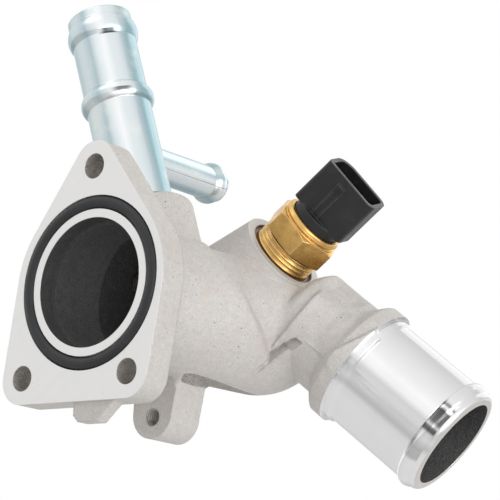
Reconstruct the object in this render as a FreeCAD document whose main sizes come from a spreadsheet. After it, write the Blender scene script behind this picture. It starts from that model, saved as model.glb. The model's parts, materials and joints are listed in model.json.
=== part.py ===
import FreeCAD, Part
import math
import os

import Sketcher

# Coolant flange: a cast aluminium water outlet with a three-bolt flange, a turned hose neck,
# a plated steel heater pipe with a brazed bypass branch, and a screwed-in temperature sensor.
# Millimetres. The origin is the centre of the port in the sealing face, which lies in Y = 0
# and faces -Y. X is to the right and Z is up along the flange.

SIZES = [
    # Flange
    ("port_radius", 21.25),
    ("flange_thick", 10.0),
    ("flange_rim_radius", 31.3),
    ("flange_corner_radius", 8.6),
    ("bolt_hole_radius", 4.2),
    ("top_hole_across", -1.3),
    ("top_hole_up", 38.4),
    ("left_hole_across", -26.25),
    ("right_hole_across", 18.85),
    ("low_hole_up", -29.85),
    ("groove_inner_radius", 24.05),
    ("groove_outer_radius", 28.6),
    ("groove_depth", 3.7),
    ("ring_clearance", 0.05),
    # Oblique arm from the port to the elbow
    ("arm_turn_angle", 68.45),
    ("arm_dip_angle", 3.7),
    ("arm_length", 63.6),
    ("arm_start", 10.0),
    ("arm_radius", 22.8),
    ("arm_sag", 1.4),
    ("arm_sway", 0.5),
    ("core_radius", 19.7),
    ("elbow_radius", 20.3),
    ("valley_across", 13.7),
    ("valley_back", -26.2),
    ("valley_up", 3.0),
    ("valley_turn_angle", 44.3),
    ("valley_dip_angle", -33.5),
    ("valley_round", 2.6),
    ("sump_radius", 24.1),
    ("sump_turn_angle", -138.2),
    ("sump_dip_angle", -54.8),
    ("sump_drop", 15.3),
    ("sump_sway", 0.7),
    ("sump_step", 2.8),
    ("sump_neck", 3.0),
    ("passage_radius", 17.0),
    ("port_depth", 6.0),
    # Hose neck, measured back from its mouth
    ("neck_turn_angle", 21.8),
    ("neck_dip_angle", 38.4),
    ("neck_reach", 77.0),
    ("neck_shift_across", 6.1),
    ("neck_shift_back", 3.15),
    ("neck_shift_up", 8.5),
    ("neck_radius", 19.35),
    ("neck_wall", 3.35),
    ("neck_root_wall", 5.15),
    ("neck_bore_length", 66.0),
    ("neck_length", 36.6),
    ("lip_height", 0.75),
    ("lip_length", 2.4),
    ("collar_height", 2.05),
    ("collar_length", 5.6),
    ("collar_slope", 3.0),
    ("throat_drop", 1.75),
    ("throat_length", 21.6),
    ("throat_round", 4.2),
    ("bead_place", 4.6),
    ("bead_height", 1.05),
    ("bead_round", 3.1),
    # Sensor boss
    ("sensor_rise_angle", 36.5),
    ("sensor_shift_across", 8.42),
    ("sensor_shift_up", 22.7),
    ("sensor_boss_radius", 15.4),
    ("sensor_boss_draft_angle", 12.0),
    ("sensor_boss_depth", 22.0),
    ("sensor_spot_radius", 17.2),
    ("sensor_spot_height", 14.0),
    ("sensor_recess_radius", 12.4),
    ("sensor_recess_depth", 1.0),
    # Heater pipe and its boss
    ("heater_lean_angle", 20.3),
    ("heater_place", 36.3),
    ("heater_boss_radius", 17.1),
    ("heater_boss_reach", 33.65),
    ("heater_boss_round", 2.0),
    ("heater_boss_start", 7.0),
    ("heater_seat_depth", 13.0),
    ("heater_reach", 109.75),
    ("heater_radius", 11.15),
    ("heater_wall", 1.5),
    ("stop_bead_place", 76.5),
    ("stop_bead_height", 1.6),
    ("stop_bead_length", 6.4),
    ("end_bead_place", 103.0),
    ("end_bead_height", 1.2),
    ("end_bead_length", 7.6),
    # Bypass branch on the heater pipe
    ("bypass_place", 56.0),
    ("bypass_reach", 46.2),
    ("bypass_radius", 5.95),
    ("bypass_wall", 1.2),
    ("bypass_bead_place", 42.4),
    ("bypass_bead_height", 1.4),
    ("bypass_bead_length", 5.4),
    # Threaded lug and locating tab
    ("lug_front", 30.0),
    ("lug_thick", 14.0),
    ("lug_across", 4.35),
    ("lug_up", -38.1),
    ("lug_radius", 8.25),
    ("lug_hole_up", -39.2),
    ("lug_hole_radius", 3.0),
    ("tab_front", 1.5),
    ("tab_thick", 4.7),
    ("tab_left", -3.9),
    ("tab_foot_right", 6.3),
    ("tab_right", 13.4),
    ("tab_foot_up", -44.8),
    ("tab_corner", 2.2),
    # Temperature sensor, measured up from its spot face
    ("thread_radius", 11.0),
    ("thread_clearance", 0.08),
    ("thread_depth", 12.0),
    ("hex_start", 5.6),
    ("hex_length", 7.8),
    ("hex_corner_radius", 12.7),
    ("hex_spin_angle", 12.0),
    ("thread_spacing", 1.5),
    ("thread_height", 0.8),
    ("crimp_top", 16.1),
    ("crimp_radius", 10.9),
    ("crimp_lip", 1.1),
    ("crimp_opening_radius", 9.25),
    ("crimp_bore_radius", 9.8),
    ("crimp_floor", 8.6),
    ("well_radius", 6.4),
    ("well_floor", 4.6),
    ("probe_radius", 5.0),
    ("probe_depth", 25.0),
    ("probe_bore_radius", 3.4),
    ("probe_tip", 1.6),
    # Connector moulding
    ("foot_radius", 9.1),
    ("foot_clearance", 0.05),
    ("seal_groove_radius", 7.3),
    ("seal_groove_start", 10.4),
    ("seal_groove_length", 2.7),
    ("seal_radius", 1.22),
    ("shroud_start", 18.9),
    ("shroud_end", 36.0),
    ("shroud_width", 21.6),
    ("shroud_depth", 13.4),
    ("shroud_big_corner", 6.0),
    ("shroud_corner", 3.4),
    ("shroud_small_corner", 1.6),
    ("shroud_wall", 1.5),
    ("socket_depth", 12.0),
    ("connector_spin_angle", 23.0),
    ("shroud_shift", 0.5),
    ("latch_shift", -0.7),
    ("latch_width", 3.2),
    ("latch_length", 3.6),
    ("latch_height", 1.3),
    ("latch_back", 2.5),
    ("rib_width", 0.6),
    ("rib_height", 0.4),
    # Terminals, sensing element and its sleeve
    ("blade_spacing", 6.0),
    ("blade_width", 2.8),
    ("blade_thick", 0.8),
    ("blade_top", 33.0),
    ("blade_bottom", 6.6),
    ("blade_foot", 0.8),
    ("blade_clearance", 0.02),
    ("lead_radius", 0.3),
    ("lead_spacing", 1.8),
    ("element_radius", 1.6),
    ("element_thick", 1.6),
    ("sleeve_radius", 3.3),
    ("sleeve_bore_radius", 2.2),
    ("sleeve_length", 19.0),
]

doc = FreeCAD.newDocument("coolant_flange")
sheet = doc.addObject("Spreadsheet::Sheet", "Sizes")
for row, (alias, value) in enumerate(SIZES, start=1):
    sheet.set("A%d" % row, alias)
    sheet.set("B%d" % row, str(value))
    sheet.setAlias("B%d" % row, alias)
doc.recompute()


def size(text):
    """Turns words of an expression that name sheet cells into references to the sheet."""
    names = dict(SIZES)
    words = []
    word = ""
    for letter in text + " ":
        if letter.isalnum() or letter == "_":
            word += letter
            continue
        words.append("Sizes." + word if word in names else word)
        words.append(letter)
        word = ""
    return "".join(words).strip()


def number(text):
    """The value of an expression now, for the first place of a sketched point."""
    return float(sheet.evalExpression(size(text)))


def bind(thing, **expressions):
    for name, text in expressions.items():
        thing.setExpression(name.replace("__", "."), size(text))


# Frames: each is a placement whose Z axis is the axis of a tube, boss or pipe.

def frame(across, back, up, turn, dip):
    return "placement(vector(%s; %s; %s); rotation(%s; 90 + %s; 0))" % (across, back, up, turn, dip)


def along(base, distance, spin="0"):
    return "%s * placement(vector(0; 0; %s); rotation(%s; 0; 0))" % (base, distance, spin)


ELBOW_ACROSS = "arm_length * cos(arm_turn_angle) * cos(arm_dip_angle)"
ELBOW_BACK = "arm_length * sin(arm_turn_angle) * cos(arm_dip_angle)"
ELBOW_UP = "-arm_length * sin(arm_dip_angle)"
PORT = frame("0", "0", "0", "90", "0")
ELBOW = frame(ELBOW_ACROSS, ELBOW_BACK, ELBOW_UP, "arm_turn_angle", "arm_dip_angle")
PASSAGE = frame("0", "0", "0", "arm_turn_angle", "arm_dip_angle")
NECK = frame(
    ELBOW_ACROSS + " + neck_shift_across",
    ELBOW_BACK + " + neck_shift_back",
    ELBOW_UP + " + neck_shift_up",
    "neck_turn_angle",
    "neck_dip_angle",
)
MOUTH = along(NECK, "neck_reach")
SENSOR = frame(
    ELBOW_ACROSS + " + sensor_shift_across",
    ELBOW_BACK,
    ELBOW_UP + " + sensor_shift_up",
    "0",
    "-sensor_rise_angle",
)
HEATER = frame("0", "heater_place", "0", "0", "-90 - heater_lean_angle")
BYPASS = frame(
    "-bypass_place * sin(heater_lean_angle)",
    "heater_place",
    "bypass_place * cos(heater_lean_angle)",
    "90",
    "0",
)


# Features of a body

def new_body(name):
    body = doc.addObject("PartDesign::Body", name)
    body.Label = name
    return body


def attach(body, feature, role, offset):
    plane = [item for item in body.Origin.OriginFeatures if item.Role == role][0]
    feature.AttachmentSupport = [(plane, "")]
    feature.MapMode = "FlatFace"
    if offset:
        feature.setExpression("AttachmentOffset", size(offset))


def solid(body, kind, name, place, **expressions):
    """An additive or subtractive primitive whose Z axis lies on a frame."""
    feature = body.newObject("PartDesign::" + kind, name)
    attach(body, feature, "XY_Plane", place)
    bind(feature, **expressions)
    doc.recompute()
    return feature


def sketch_on(body, name, role="XZ_Plane", offset=""):
    sketch = body.newObject("Sketcher::SketchObject", name)
    attach(body, sketch, role, offset)
    return sketch


def pin(sketch, kind, geometry, point, text):
    """Holds one coordinate of a sketched point at a sheet expression."""
    index = sketch.addConstraint(
        Sketcher.Constraint(kind, -1, 1, geometry, point, number(text))
    )
    sketch.setExpression("Constraints[%d]" % index, size(text))


def polygon(sketch, points, arcs=()):
    """A closed outline with every corner held by the sheet. The arcs are rows of (side number,
    centre across, centre up, radius); every other side is straight."""
    spots = [FreeCAD.Vector(number(x), number(y), 0) for x, y in points]
    round_sides = {side: (cx, cy, radius) for side, cx, cy, radius in arcs}
    count = len(spots)
    first, last = [], []
    for i in range(count):
        start, end = spots[i], spots[(i + 1) % count]
        if i not in round_sides:
            sketch.addGeometry(Part.LineSegment(start, end), False)
            first.append(1)
            last.append(2)
            continue
        cx, cy, radius = round_sides[i]
        centre = FreeCAD.Vector(number(cx), number(cy), 0)
        rim = Part.Circle(centre, FreeCAD.Vector(0, 0, 1), number(radius))
        one = math.atan2(start.y - centre.y, start.x - centre.x)
        two = math.atan2(end.y - centre.y, end.x - centre.x)
        forward = math.sin(two - one) > 0
        if not forward:
            one, two = two, one
        sketch.addGeometry(Part.ArcOfCircle(rim, one, two), False)
        first.append(1 if forward else 2)
        last.append(2 if forward else 1)
    for i in range(count):
        after = (i + 1) % count
        sketch.addConstraint(Sketcher.Constraint("Coincident", i, last[i], after, first[after]))
    for i, (x, y) in enumerate(points):
        pin(sketch, "DistanceX", i, first[i], x)
        pin(sketch, "DistanceY", i, first[i], y)
    for i, (cx, cy, radius) in round_sides.items():
        held = sketch.addConstraint(Sketcher.Constraint("Radius", i, number(radius)))
        sketch.setExpression("Constraints[%d]" % held, size(radius))
    doc.recompute()


def circle(sketch, across, up, radius):
    spot = FreeCAD.Vector(number(across), number(up), 0)
    index = sketch.addGeometry(
        Part.Circle(spot, FreeCAD.Vector(0, 0, 1), number(radius)), False
    )
    pin(sketch, "DistanceX", index, 3, across)
    pin(sketch, "DistanceY", index, 3, up)
    held = sketch.addConstraint(Sketcher.Constraint("Radius", index, number(radius)))
    sketch.setExpression("Constraints[%d]" % held, size(radius))
    doc.recompute()


def pad(body, name, sketch, length):
    feature = body.newObject("PartDesign::Pad", name)
    feature.Profile = sketch
    feature.Reversed = True
    bind(feature, Length=length)
    doc.recompute()
    return feature


def pocket(body, name, sketch, length):
    feature = body.newObject("PartDesign::Pocket", name)
    feature.Profile = sketch
    bind(feature, Length=length)
    doc.recompute()
    return feature


def revolve(body, name, sketch, kind="Revolution"):
    feature = body.newObject("PartDesign::" + kind, name)
    feature.Profile = sketch
    feature.ReferenceAxis = (sketch, ["H_Axis"])
    feature.Angle = 360
    doc.recompute()
    return feature


def round_edges(body, name, radius, wanted):
    """Rounds the edges of the body so far that pass a test."""
    tip = body.Tip
    found = [i for i, edge in enumerate(tip.Shape.Edges, start=1) if wanted(edge)]
    if not found:
        raise RuntimeError(name + " finds no edge")
    feature = body.newObject("PartDesign::Fillet", name)
    feature.Base = (tip, ["Edge%d" % i for i in found])
    bind(feature, Radius=radius)
    doc.recompute()
    if "Invalid" in feature.State:
        raise RuntimeError(name + " failed")
    return feature


def turned(turn_frame):
    """The same frame with its X axis, not its Z axis, along the tube, for a turned profile."""
    return turn_frame + " * placement(vector(0; 0; 0); rotation(0; -90; 0))"


def tangent_outline(sketch, circles):
    """A closed outline of arcs about the given circles, joined by their outer tangents."""
    spots = [(number(x), number(y), number(r)) for x, y, r in circles]
    count = len(spots)
    leave, arrive = {}, {}
    for i in range(count):
        (x0, y0, r0), (x1, y1, r1) = spots[i], spots[(i + 1) % count]
        reach = math.hypot(x1 - x0, y1 - y0)
        angle = math.atan2(y1 - y0, x1 - x0) - math.acos((r0 - r1) / reach)
        leave[i] = angle
        arrive[(i + 1) % count] = angle
    arcs, lines = [], []
    for i, (x, y, r) in enumerate(spots):
        rim = Part.Circle(FreeCAD.Vector(x, y, 0), FreeCAD.Vector(0, 0, 1), r)
        arcs.append(sketch.addGeometry(Part.ArcOfCircle(rim, arrive[i], leave[i]), False))
    for i in range(count):
        (x0, y0, r0), (x1, y1, r1) = spots[i], spots[(i + 1) % count]
        start = FreeCAD.Vector(x0 + r0 * math.cos(leave[i]), y0 + r0 * math.sin(leave[i]), 0)
        end = FreeCAD.Vector(x1 + r1 * math.cos(leave[i]), y1 + r1 * math.sin(leave[i]), 0)
        lines.append(sketch.addGeometry(Part.LineSegment(start, end), False))
    for i in range(count):
        sketch.addConstraint(Sketcher.Constraint("Tangent", arcs[i], 2, lines[i], 1))
        sketch.addConstraint(Sketcher.Constraint("Tangent", lines[i], 2, arcs[(i + 1) % count], 1))
    for i, (x, y, r) in enumerate(circles):
        pin(sketch, "DistanceX", arcs[i], 3, x)
        pin(sketch, "DistanceY", arcs[i], 3, y)
        held = sketch.addConstraint(Sketcher.Constraint("Radius", arcs[i], number(r)))
        sketch.setExpression("Constraints[%d]" % held, size(r))
    doc.recompute()


def bead_round(radius, tube, length):
    """The minor radius of a ring that stands out of a tube over the given length."""
    return "((%s / 2)^2 + (%s - %s)^2) / (2 * (%s - %s))" % (length, radius, tube, radius, tube)


def bead(body, name, base, place, radius, tube, length):
    """A rolled bead: a ring whose round top stands out of a tube."""
    small = bead_round(radius, tube, length)
    sketch = sketch_on(body, name + "_profile", "XY_Plane", turned(base))
    middle, low, high = number(place), number(tube), number(radius)
    half, arc_radius = number(length) / 2, number(small)
    centre = FreeCAD.Vector(middle, high - arc_radius, 0)
    rise = math.asin((low - high + arc_radius) / arc_radius)
    rim = Part.Circle(centre, FreeCAD.Vector(0, 0, 1), arc_radius)
    corners = [
        FreeCAD.Vector(middle - half, low, 0),
        FreeCAD.Vector(middle - half, low - 1, 0),
        FreeCAD.Vector(middle + half, low - 1, 0),
        FreeCAD.Vector(middle + half, low, 0),
    ]
    arc = sketch.addGeometry(Part.ArcOfCircle(rim, rise, math.pi - rise), False)
    lines = [
        sketch.addGeometry(Part.LineSegment(corners[i], corners[i + 1]), False) for i in range(3)
    ]
    sketch.addConstraint(Sketcher.Constraint("Coincident", arc, 2, lines[0], 1))
    sketch.addConstraint(Sketcher.Constraint("Coincident", lines[0], 2, lines[1], 1))
    sketch.addConstraint(Sketcher.Constraint("Coincident", lines[1], 2, lines[2], 1))
    sketch.addConstraint(Sketcher.Constraint("Coincident", lines[2], 2, arc, 1))
    pin(sketch, "DistanceX", arc, 3, place)
    pin(sketch, "DistanceY", arc, 3, "%s - %s" % (radius, small))
    pin(sketch, "DistanceX", arc, 2, "%s - %s / 2" % (place, length))
    pin(sketch, "DistanceX", arc, 1, "%s + %s / 2" % (place, length))
    pin(sketch, "DistanceX", lines[1], 1, "%s - %s / 2" % (place, length))
    pin(sketch, "DistanceX", lines[1], 2, "%s + %s / 2" % (place, length))
    pin(sketch, "DistanceY", lines[1], 1, tube + " - 1")
    pin(sketch, "DistanceY", lines[1], 2, tube + " - 1")
    held = sketch.addConstraint(Sketcher.Constraint("Radius", arc, arc_radius))
    sketch.setExpression("Constraints[%d]" % held, size(small))
    doc.recompute()
    return revolve(body, name, sketch)


def make_housing():
    """One casting: flange, oblique arm, elbow, hose neck, bosses, lug and tab."""
    body = new_body("housing")

    # The outer arm ends at a slanted plane, behind which the slimmer core shows.
    shifted = frame("-arm_sway", "0", "-arm_sag", "arm_turn_angle", "arm_dip_angle")
    solid(
        body,
        "AdditiveCylinder",
        "arm",
        along(shifted, "-arm_start"),
        Radius="arm_radius",
        Height="arm_length + arm_start",
    )
    valley = frame(
        ELBOW_ACROSS + " + valley_across",
        ELBOW_BACK + " + valley_back",
        ELBOW_UP + " + valley_up",
        "valley_turn_angle",
        "valley_dip_angle",
    )
    solid(
        body,
        "SubtractiveBox",
        "valley",
        valley + " * placement(vector(-60; -60; 0); rotation(0; 0; 0))",
        Length="120",
        Width="120",
        Height="90",
    )
    round_edges(body, "valley_edge", "valley_round", lambda edge: edge.Length > number("1.3 * arm_radius")
                and edge.CenterOfMass.y > number("1.5 * flange_thick"))
    solid(
        body,
        "AdditiveCylinder",
        "core",
        along(PASSAGE, "-arm_start"),
        Radius="core_radius",
        Height="arm_length + arm_start",
    )
    solid(
        body,
        "SubtractiveBox",
        "arm_trim",
        "placement(vector(-60; flange_thick / 2 - 60; -60); rotation(0; 0; 0))",
        Length="120",
        Width="60",
        Height="120",
    )
    outline = sketch_on(body, "flange_outline")
    tangent_outline(
        outline,
        [
            ("0", "0", "flange_rim_radius"),
            ("top_hole_across", "top_hole_up", "flange_corner_radius"),
            ("0", "0", "flange_rim_radius"),
            ("left_hole_across", "low_hole_up", "flange_corner_radius"),
            ("right_hole_across", "low_hole_up", "flange_corner_radius"),
        ],
    )
    pad(body, "flange_plate", outline, "flange_thick")
    solid(body, "AdditiveSphere", "elbow", ELBOW, Radius="elbow_radius")
    bowl = sketch_on(
        body,
        "sump_profile",
        "XY_Plane",
        turned(frame(ELBOW_ACROSS + " - sump_sway", ELBOW_BACK, ELBOW_UP, "sump_turn_angle", "sump_dip_angle")),
    )
    polygon(
        bowl,
        [
            ("-sump_radius", "0"),
            ("-sump_drop", "sqrt(sump_radius^2 - sump_drop^2)"),
            ("-sump_drop + sump_neck", "sqrt(sump_radius^2 - sump_drop^2) - sump_step"),
            ("-sump_drop + sump_neck", "0"),
        ],
        [(0, "0", "0", "sump_radius")],
    )
    revolve(body, "sump", bowl)

    profile = sketch_on(body, "neck_profile", "XY_Plane", turned(MOUTH))
    collar_end = "-(neck_length + lip_length)"
    collar_edge = collar_end + " - collar_length"
    collar_foot = collar_edge + " - collar_slope"
    throat_start = collar_foot + " - throat_length"
    bead_half = "sqrt(bead_round^2 - (bead_round - bead_height)^2)"
    polygon(
        profile,
        [
            (throat_start, "0"),
            (throat_start, "neck_radius - throat_drop - throat_round"),
            (throat_start + " + throat_round", "neck_radius - throat_drop"),
            (collar_foot, "neck_radius - throat_drop"),
            (collar_edge, "neck_radius + collar_height - 0.7"),
            (collar_edge + " + 0.8", "neck_radius + collar_height - 0.1"),
            (collar_end, "neck_radius + collar_height"),
            (collar_end, "neck_radius + lip_height"),
            ("-neck_length", "neck_radius + lip_height"),
            ("-neck_length + 0.8", "neck_radius"),
            ("-bead_place - " + bead_half, "neck_radius"),
            ("-bead_place + " + bead_half, "neck_radius"),
            ("-1.6", "neck_radius - 0.1"),
            ("0", "neck_radius - 1.7"),
            ("0", "0"),
        ],
        [
            (1, throat_start + " + throat_round", "neck_radius - throat_drop - throat_round", "throat_round"),
            (10, "-bead_place", "neck_radius + bead_height - bead_round", "bead_round"),
            (12, "-1.6", "neck_radius - 1.7", "1.6"),
        ],
    )
    revolve(body, "neck", profile)

    solid(
        body,
        "AdditiveCone",
        "sensor_boss",
        along(SENSOR, "-sensor_boss_depth"),
        Radius1="sensor_boss_radius + sensor_boss_depth * tan(sensor_boss_draft_angle)",
        Radius2="sensor_boss_radius",
        Height="sensor_boss_depth",
    )
    boss = sketch_on(body, "heater_boss_profile", "XY_Plane", turned(HEATER))
    polygon(
        boss,
        [
            ("heater_boss_start - heater_boss_radius", "0"),
            ("heater_boss_start", "heater_boss_radius"),
            ("heater_boss_reach - heater_boss_round", "heater_boss_radius"),
            ("heater_boss_reach", "heater_boss_radius - heater_boss_round"),
            ("heater_boss_reach", "0"),
        ],
        [
            (0, "heater_boss_start", "0", "heater_boss_radius"),
            (2, "heater_boss_reach - heater_boss_round",
             "heater_boss_radius - heater_boss_round", "heater_boss_round"),
        ],
    )
    revolve(body, "heater_boss", boss)

    lug = sketch_on(
        body, "lug_outline", offset="placement(vector(0; 0; -lug_front); rotation(0; 0; 0))"
    )
    polygon(
        lug,
        [
            ("lug_across - lug_radius", "lug_up"),
            ("lug_across + lug_radius", "lug_up"),
            ("lug_across + lug_radius + 1.6", "lug_up + 9.6"),
            ("lug_across + lug_radius + 4.4", "lug_up + 11.4"),
            ("lug_across + lug_radius + 10.2", "lug_up + 16"),
            ("lug_across + lug_radius + 6", "lug_up + 24"),
            ("lug_across - lug_radius", "lug_up + 20"),
        ],
    )
    pad(body, "lug_web", lug, "lug_thick")
    solid(
        body,
        "AdditiveCylinder",
        "lug_round",
        frame("lug_across", "lug_front", "lug_up", "90", "0"),
        Radius="lug_radius",
        Height="lug_thick",
    )

    tab = sketch_on(
        body, "tab_outline", offset="placement(vector(0; 0; -tab_front); rotation(0; 0; 0))"
    )
    polygon(
        tab,
        [
            ("tab_left", "low_hole_up - 7"),
            ("tab_left", "tab_foot_up + tab_corner"),
            ("tab_left + tab_corner", "tab_foot_up"),
            ("tab_foot_right", "tab_foot_up"),
            ("tab_right", "low_hole_up - 8.4"),
            ("tab_right", "low_hole_up - 7"),
        ],
    )
    pad(body, "tab", tab, "tab_thick")

    # Hollows
    solid(body, "SubtractiveCylinder", "port_bore", along(PORT, "-1"),
          Radius="port_radius", Height="port_depth + 1")
    solid(body, "SubtractiveSphere", "port_hollow", PORT, Radius="port_radius - 0.2")
    solid(body, "SubtractiveCylinder", "passage", along(PASSAGE, "6"),
          Radius="passage_radius", Height="arm_length - 6")
    solid(body, "SubtractiveSphere", "elbow_hollow", ELBOW, Radius="passage_radius + 0.4")
    solid(
        body,
        "SubtractiveCone",
        "neck_bore",
        along(MOUTH, "-neck_bore_length"),
        Radius1="neck_radius - neck_root_wall",
        Radius2="neck_radius - neck_wall",
        Height="neck_bore_length + 0.01",
    )
    solid(
        body,
        "SubtractiveCylinder",
        "heater_seat",
        along(HEATER, "heater_boss_reach - heater_seat_depth"),
        Radius="heater_radius",
        Height="heater_seat_depth + 1",
    )
    solid(
        body,
        "SubtractiveCylinder",
        "heater_way",
        along(HEATER, "5"),
        Radius="heater_radius - heater_wall",
        Height="heater_boss_reach",
    )
    solid(
        body,
        "SubtractiveCylinder",
        "sensor_spot_face",
        SENSOR,
        Radius="sensor_spot_radius",
        Height="sensor_spot_height",
    )
    solid(
        body,
        "SubtractiveCylinder",
        "sensor_recess",
        along(SENSOR, "-sensor_recess_depth"),
        Radius="sensor_recess_radius",
        Height="sensor_recess_depth + 1",
    )
    solid(
        body,
        "SubtractiveCylinder",
        "sensor_hole",
        along(SENSOR, "-sensor_boss_depth"),
        Radius="thread_radius + thread_clearance",
        Height="sensor_boss_depth + 1",
    )
    solid(
        body,
        "SubtractiveCylinder",
        "probe_way",
        along(SENSOR, "-probe_depth - 3"),
        Radius="probe_radius + 2.5",
        Height="probe_depth",
    )
    solid(
        body,
        "SubtractiveCylinder",
        "lug_hole",
        frame("lug_across", "lug_front - 1", "lug_hole_up", "90", "0"),
        Radius="lug_hole_radius",
        Height="lug_thick + 2",
    )
    holes = sketch_on(body, "bolt_circles")
    circle(holes, "top_hole_across", "top_hole_up", "bolt_hole_radius")
    circle(holes, "left_hole_across", "low_hole_up", "bolt_hole_radius")
    circle(holes, "right_hole_across", "low_hole_up", "bolt_hole_radius")
    pocket(body, "bolt_holes", holes, "flange_thick")
    groove = sketch_on(body, "groove_circles")
    circle(groove, "0", "0", "groove_inner_radius")
    circle(groove, "0", "0", "groove_outer_radius")
    pocket(body, "ring_groove", groove, "groove_depth")
    return body


def make_ring():
    body = new_body("flange_o_ring")
    section = "((groove_outer_radius - groove_inner_radius) / 2 - ring_clearance)"
    solid(
        body,
        "AdditiveTorus",
        "ring",
        frame("0", "groove_depth - " + section, "0", "90", "0"),
        Radius1="(groove_outer_radius + groove_inner_radius) / 2",
        Radius2=section,
    )
    return body


def make_heater_pipe():
    body = new_body("heater_pipe")
    start = "heater_boss_reach - heater_seat_depth"
    solid(
        body,
        "AdditiveCylinder",
        "tube",
        along(HEATER, start),
        Radius="heater_radius",
        Height="heater_reach - (%s)" % start,
    )
    bead(body, "stop_bead", HEATER, "stop_bead_place", "heater_radius + stop_bead_height", "heater_radius",
         "stop_bead_length")
    bead(body, "end_bead", HEATER, "end_bead_place", "heater_radius + end_bead_height", "heater_radius",
         "end_bead_length")
    solid(
        body,
        "SubtractiveCylinder",
        "tube_bore",
        along(HEATER, start + " - 1"),
        Radius="heater_radius - heater_wall",
        Height="heater_reach",
    )
    solid(
        body,
        "SubtractiveCylinder",
        "branch_hole",
        BYPASS,
        Radius="bypass_radius - bypass_wall",
        Height="2 * heater_radius",
    )
    return body


def make_bypass_pipe():
    body = new_body("bypass_pipe")
    solid(
        body,
        "AdditiveCylinder",
        "tube",
        along(BYPASS, "heater_radius - heater_wall"),
        Radius="bypass_radius",
        Height="bypass_reach - heater_radius + heater_wall",
    )
    bead(body, "end_bead", BYPASS, "bypass_bead_place", "bypass_radius + bypass_bead_height", "bypass_radius",
         "bypass_bead_length")
    solid(
        body,
        "SubtractiveCylinder",
        "tube_bore",
        BYPASS,
        Radius="bypass_radius - bypass_wall",
        Height="bypass_reach + 1",
    )
    solid(
        body,
        "SubtractiveCylinder",
        "saddle",
        along(HEATER, "bypass_place - 20"),
        Radius="heater_radius + 0.01",
        Height="40",
    )
    return body


def make_sensor_body():
    """The brass shell of the sensor: probe, thread, hexagon and crimp collar in one turning."""
    body = new_body("sensor_body")
    blank = sketch_on(body, "shell_profile", "XY_Plane", turned(SENSOR))
    points = [
        ("-probe_depth", "0"),
        ("-probe_depth", "probe_radius - 1.6"),
        ("-probe_depth + 1.6", "probe_radius"),
        ("-thread_depth - 2", "probe_radius"),
        ("-thread_depth", "thread_radius - 1.4"),
        ("-thread_depth + 1.4", "thread_radius"),
        ("0.2", "thread_radius"),
    ]
    for turn in range(3):
        base = "0.2 + %d * thread_spacing" % turn
        points.append((base + " + thread_spacing * 0.6", "thread_radius - thread_height"))
        points.append((base + " + thread_spacing", "thread_radius"))
    points += [
        ("0.2 + 3.2 * thread_spacing", "thread_radius"),
        ("hex_start - 0.4", "thread_radius - thread_height"),
        ("hex_start + 0.6", "thread_radius - thread_height"),
        ("hex_start + 0.6", "0"),
    ]
    polygon(blank, points)
    revolve(body, "shell", blank)
    solid(
        body,
        "AdditivePrism",
        "hexagon",
        along(SENSOR, "hex_start", "hex_spin_angle"),
        Polygon="6",
        Circumradius="hex_corner_radius",
        Height="hex_length",
    )
    trim = sketch_on(body, "chamfer_profile", "XY_Plane", turned(SENSOR))
    polygon(
        trim,
        [
            ("hex_start + hex_length - 1.1", "hex_corner_radius + 0.4"),
            ("hex_start + hex_length + 0.4", "hex_corner_radius - 1.9"),
            ("hex_start + hex_length + 0.4", "hex_corner_radius + 2"),
            ("hex_start + hex_length - 1.1", "hex_corner_radius + 2"),
        ],
    )
    revolve(body, "upper_chamfer", trim, "Groove")
    under = sketch_on(body, "under_profile", "XY_Plane", turned(SENSOR))
    polygon(
        under,
        [
            ("hex_start + 0.7", "hex_corner_radius + 0.4"),
            ("hex_start - 0.4", "hex_corner_radius - 1.7"),
            ("hex_start - 0.4", "hex_corner_radius + 2"),
            ("hex_start + 0.7", "hex_corner_radius + 2"),
        ],
    )
    revolve(body, "lower_chamfer", under, "Groove")
    collar = sketch_on(body, "collar_profile", "XY_Plane", turned(SENSOR))
    polygon(
        collar,
        [
            ("hex_start + hex_length - 0.5", "0"),
            ("hex_start + hex_length - 0.5", "crimp_radius - 0.5"),
            ("hex_start + hex_length + 0.5", "crimp_radius - 0.5"),
            ("hex_start + hex_length + 1.2", "crimp_radius"),
            ("crimp_top - crimp_lip", "crimp_radius - 0.2"),
            ("crimp_top", "crimp_radius - crimp_lip - 0.2"),
            ("crimp_top", "0"),
        ],
        [
            (4, "crimp_top - crimp_lip", "crimp_radius - crimp_lip - 0.2", "crimp_lip"),
        ],
    )
    revolve(body, "crimp_collar", collar)
    hollow = sketch_on(body, "hollow_profile", "XY_Plane", turned(SENSOR))
    polygon(
        hollow,
        [
            ("-probe_depth + probe_tip", "0"),
            ("-probe_depth + probe_tip", "probe_bore_radius"),
            ("well_floor", "probe_bore_radius"),
            ("well_floor", "well_radius"),
            ("crimp_floor", "well_radius"),
            ("crimp_floor", "crimp_bore_radius"),
            ("crimp_top - crimp_lip", "crimp_bore_radius"),
            ("crimp_top - crimp_lip", "crimp_opening_radius"),
            ("crimp_top + 1", "crimp_opening_radius"),
            ("crimp_top + 1", "0"),
        ],
    )
    revolve(body, "hollow", hollow, "Groove")
    return body


def shroud_outline(body, name, level, inset):
    """The connector's outline at a level along the sensor, set in by a distance."""
    sketch = sketch_on(body, name, "XY_Plane", along(SENSOR, level, "connector_spin_angle"))
    corners = [
        ("-", "-", "shroud_small_corner"),
        ("", "-", "shroud_corner"),
        ("", "", "shroud_corner"),
        ("-", "", "shroud_big_corner"),
    ]
    tangent_outline(
        sketch,
        [
            (
                "shroud_shift + %s(shroud_width / 2 - %s)" % (across or "1 * ", radius),
                "%s(shroud_depth / 2 - %s)" % (up, radius),
                "%s - %s" % (radius, inset),
            )
            for across, up, radius in corners
        ],
    )
    return sketch


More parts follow.
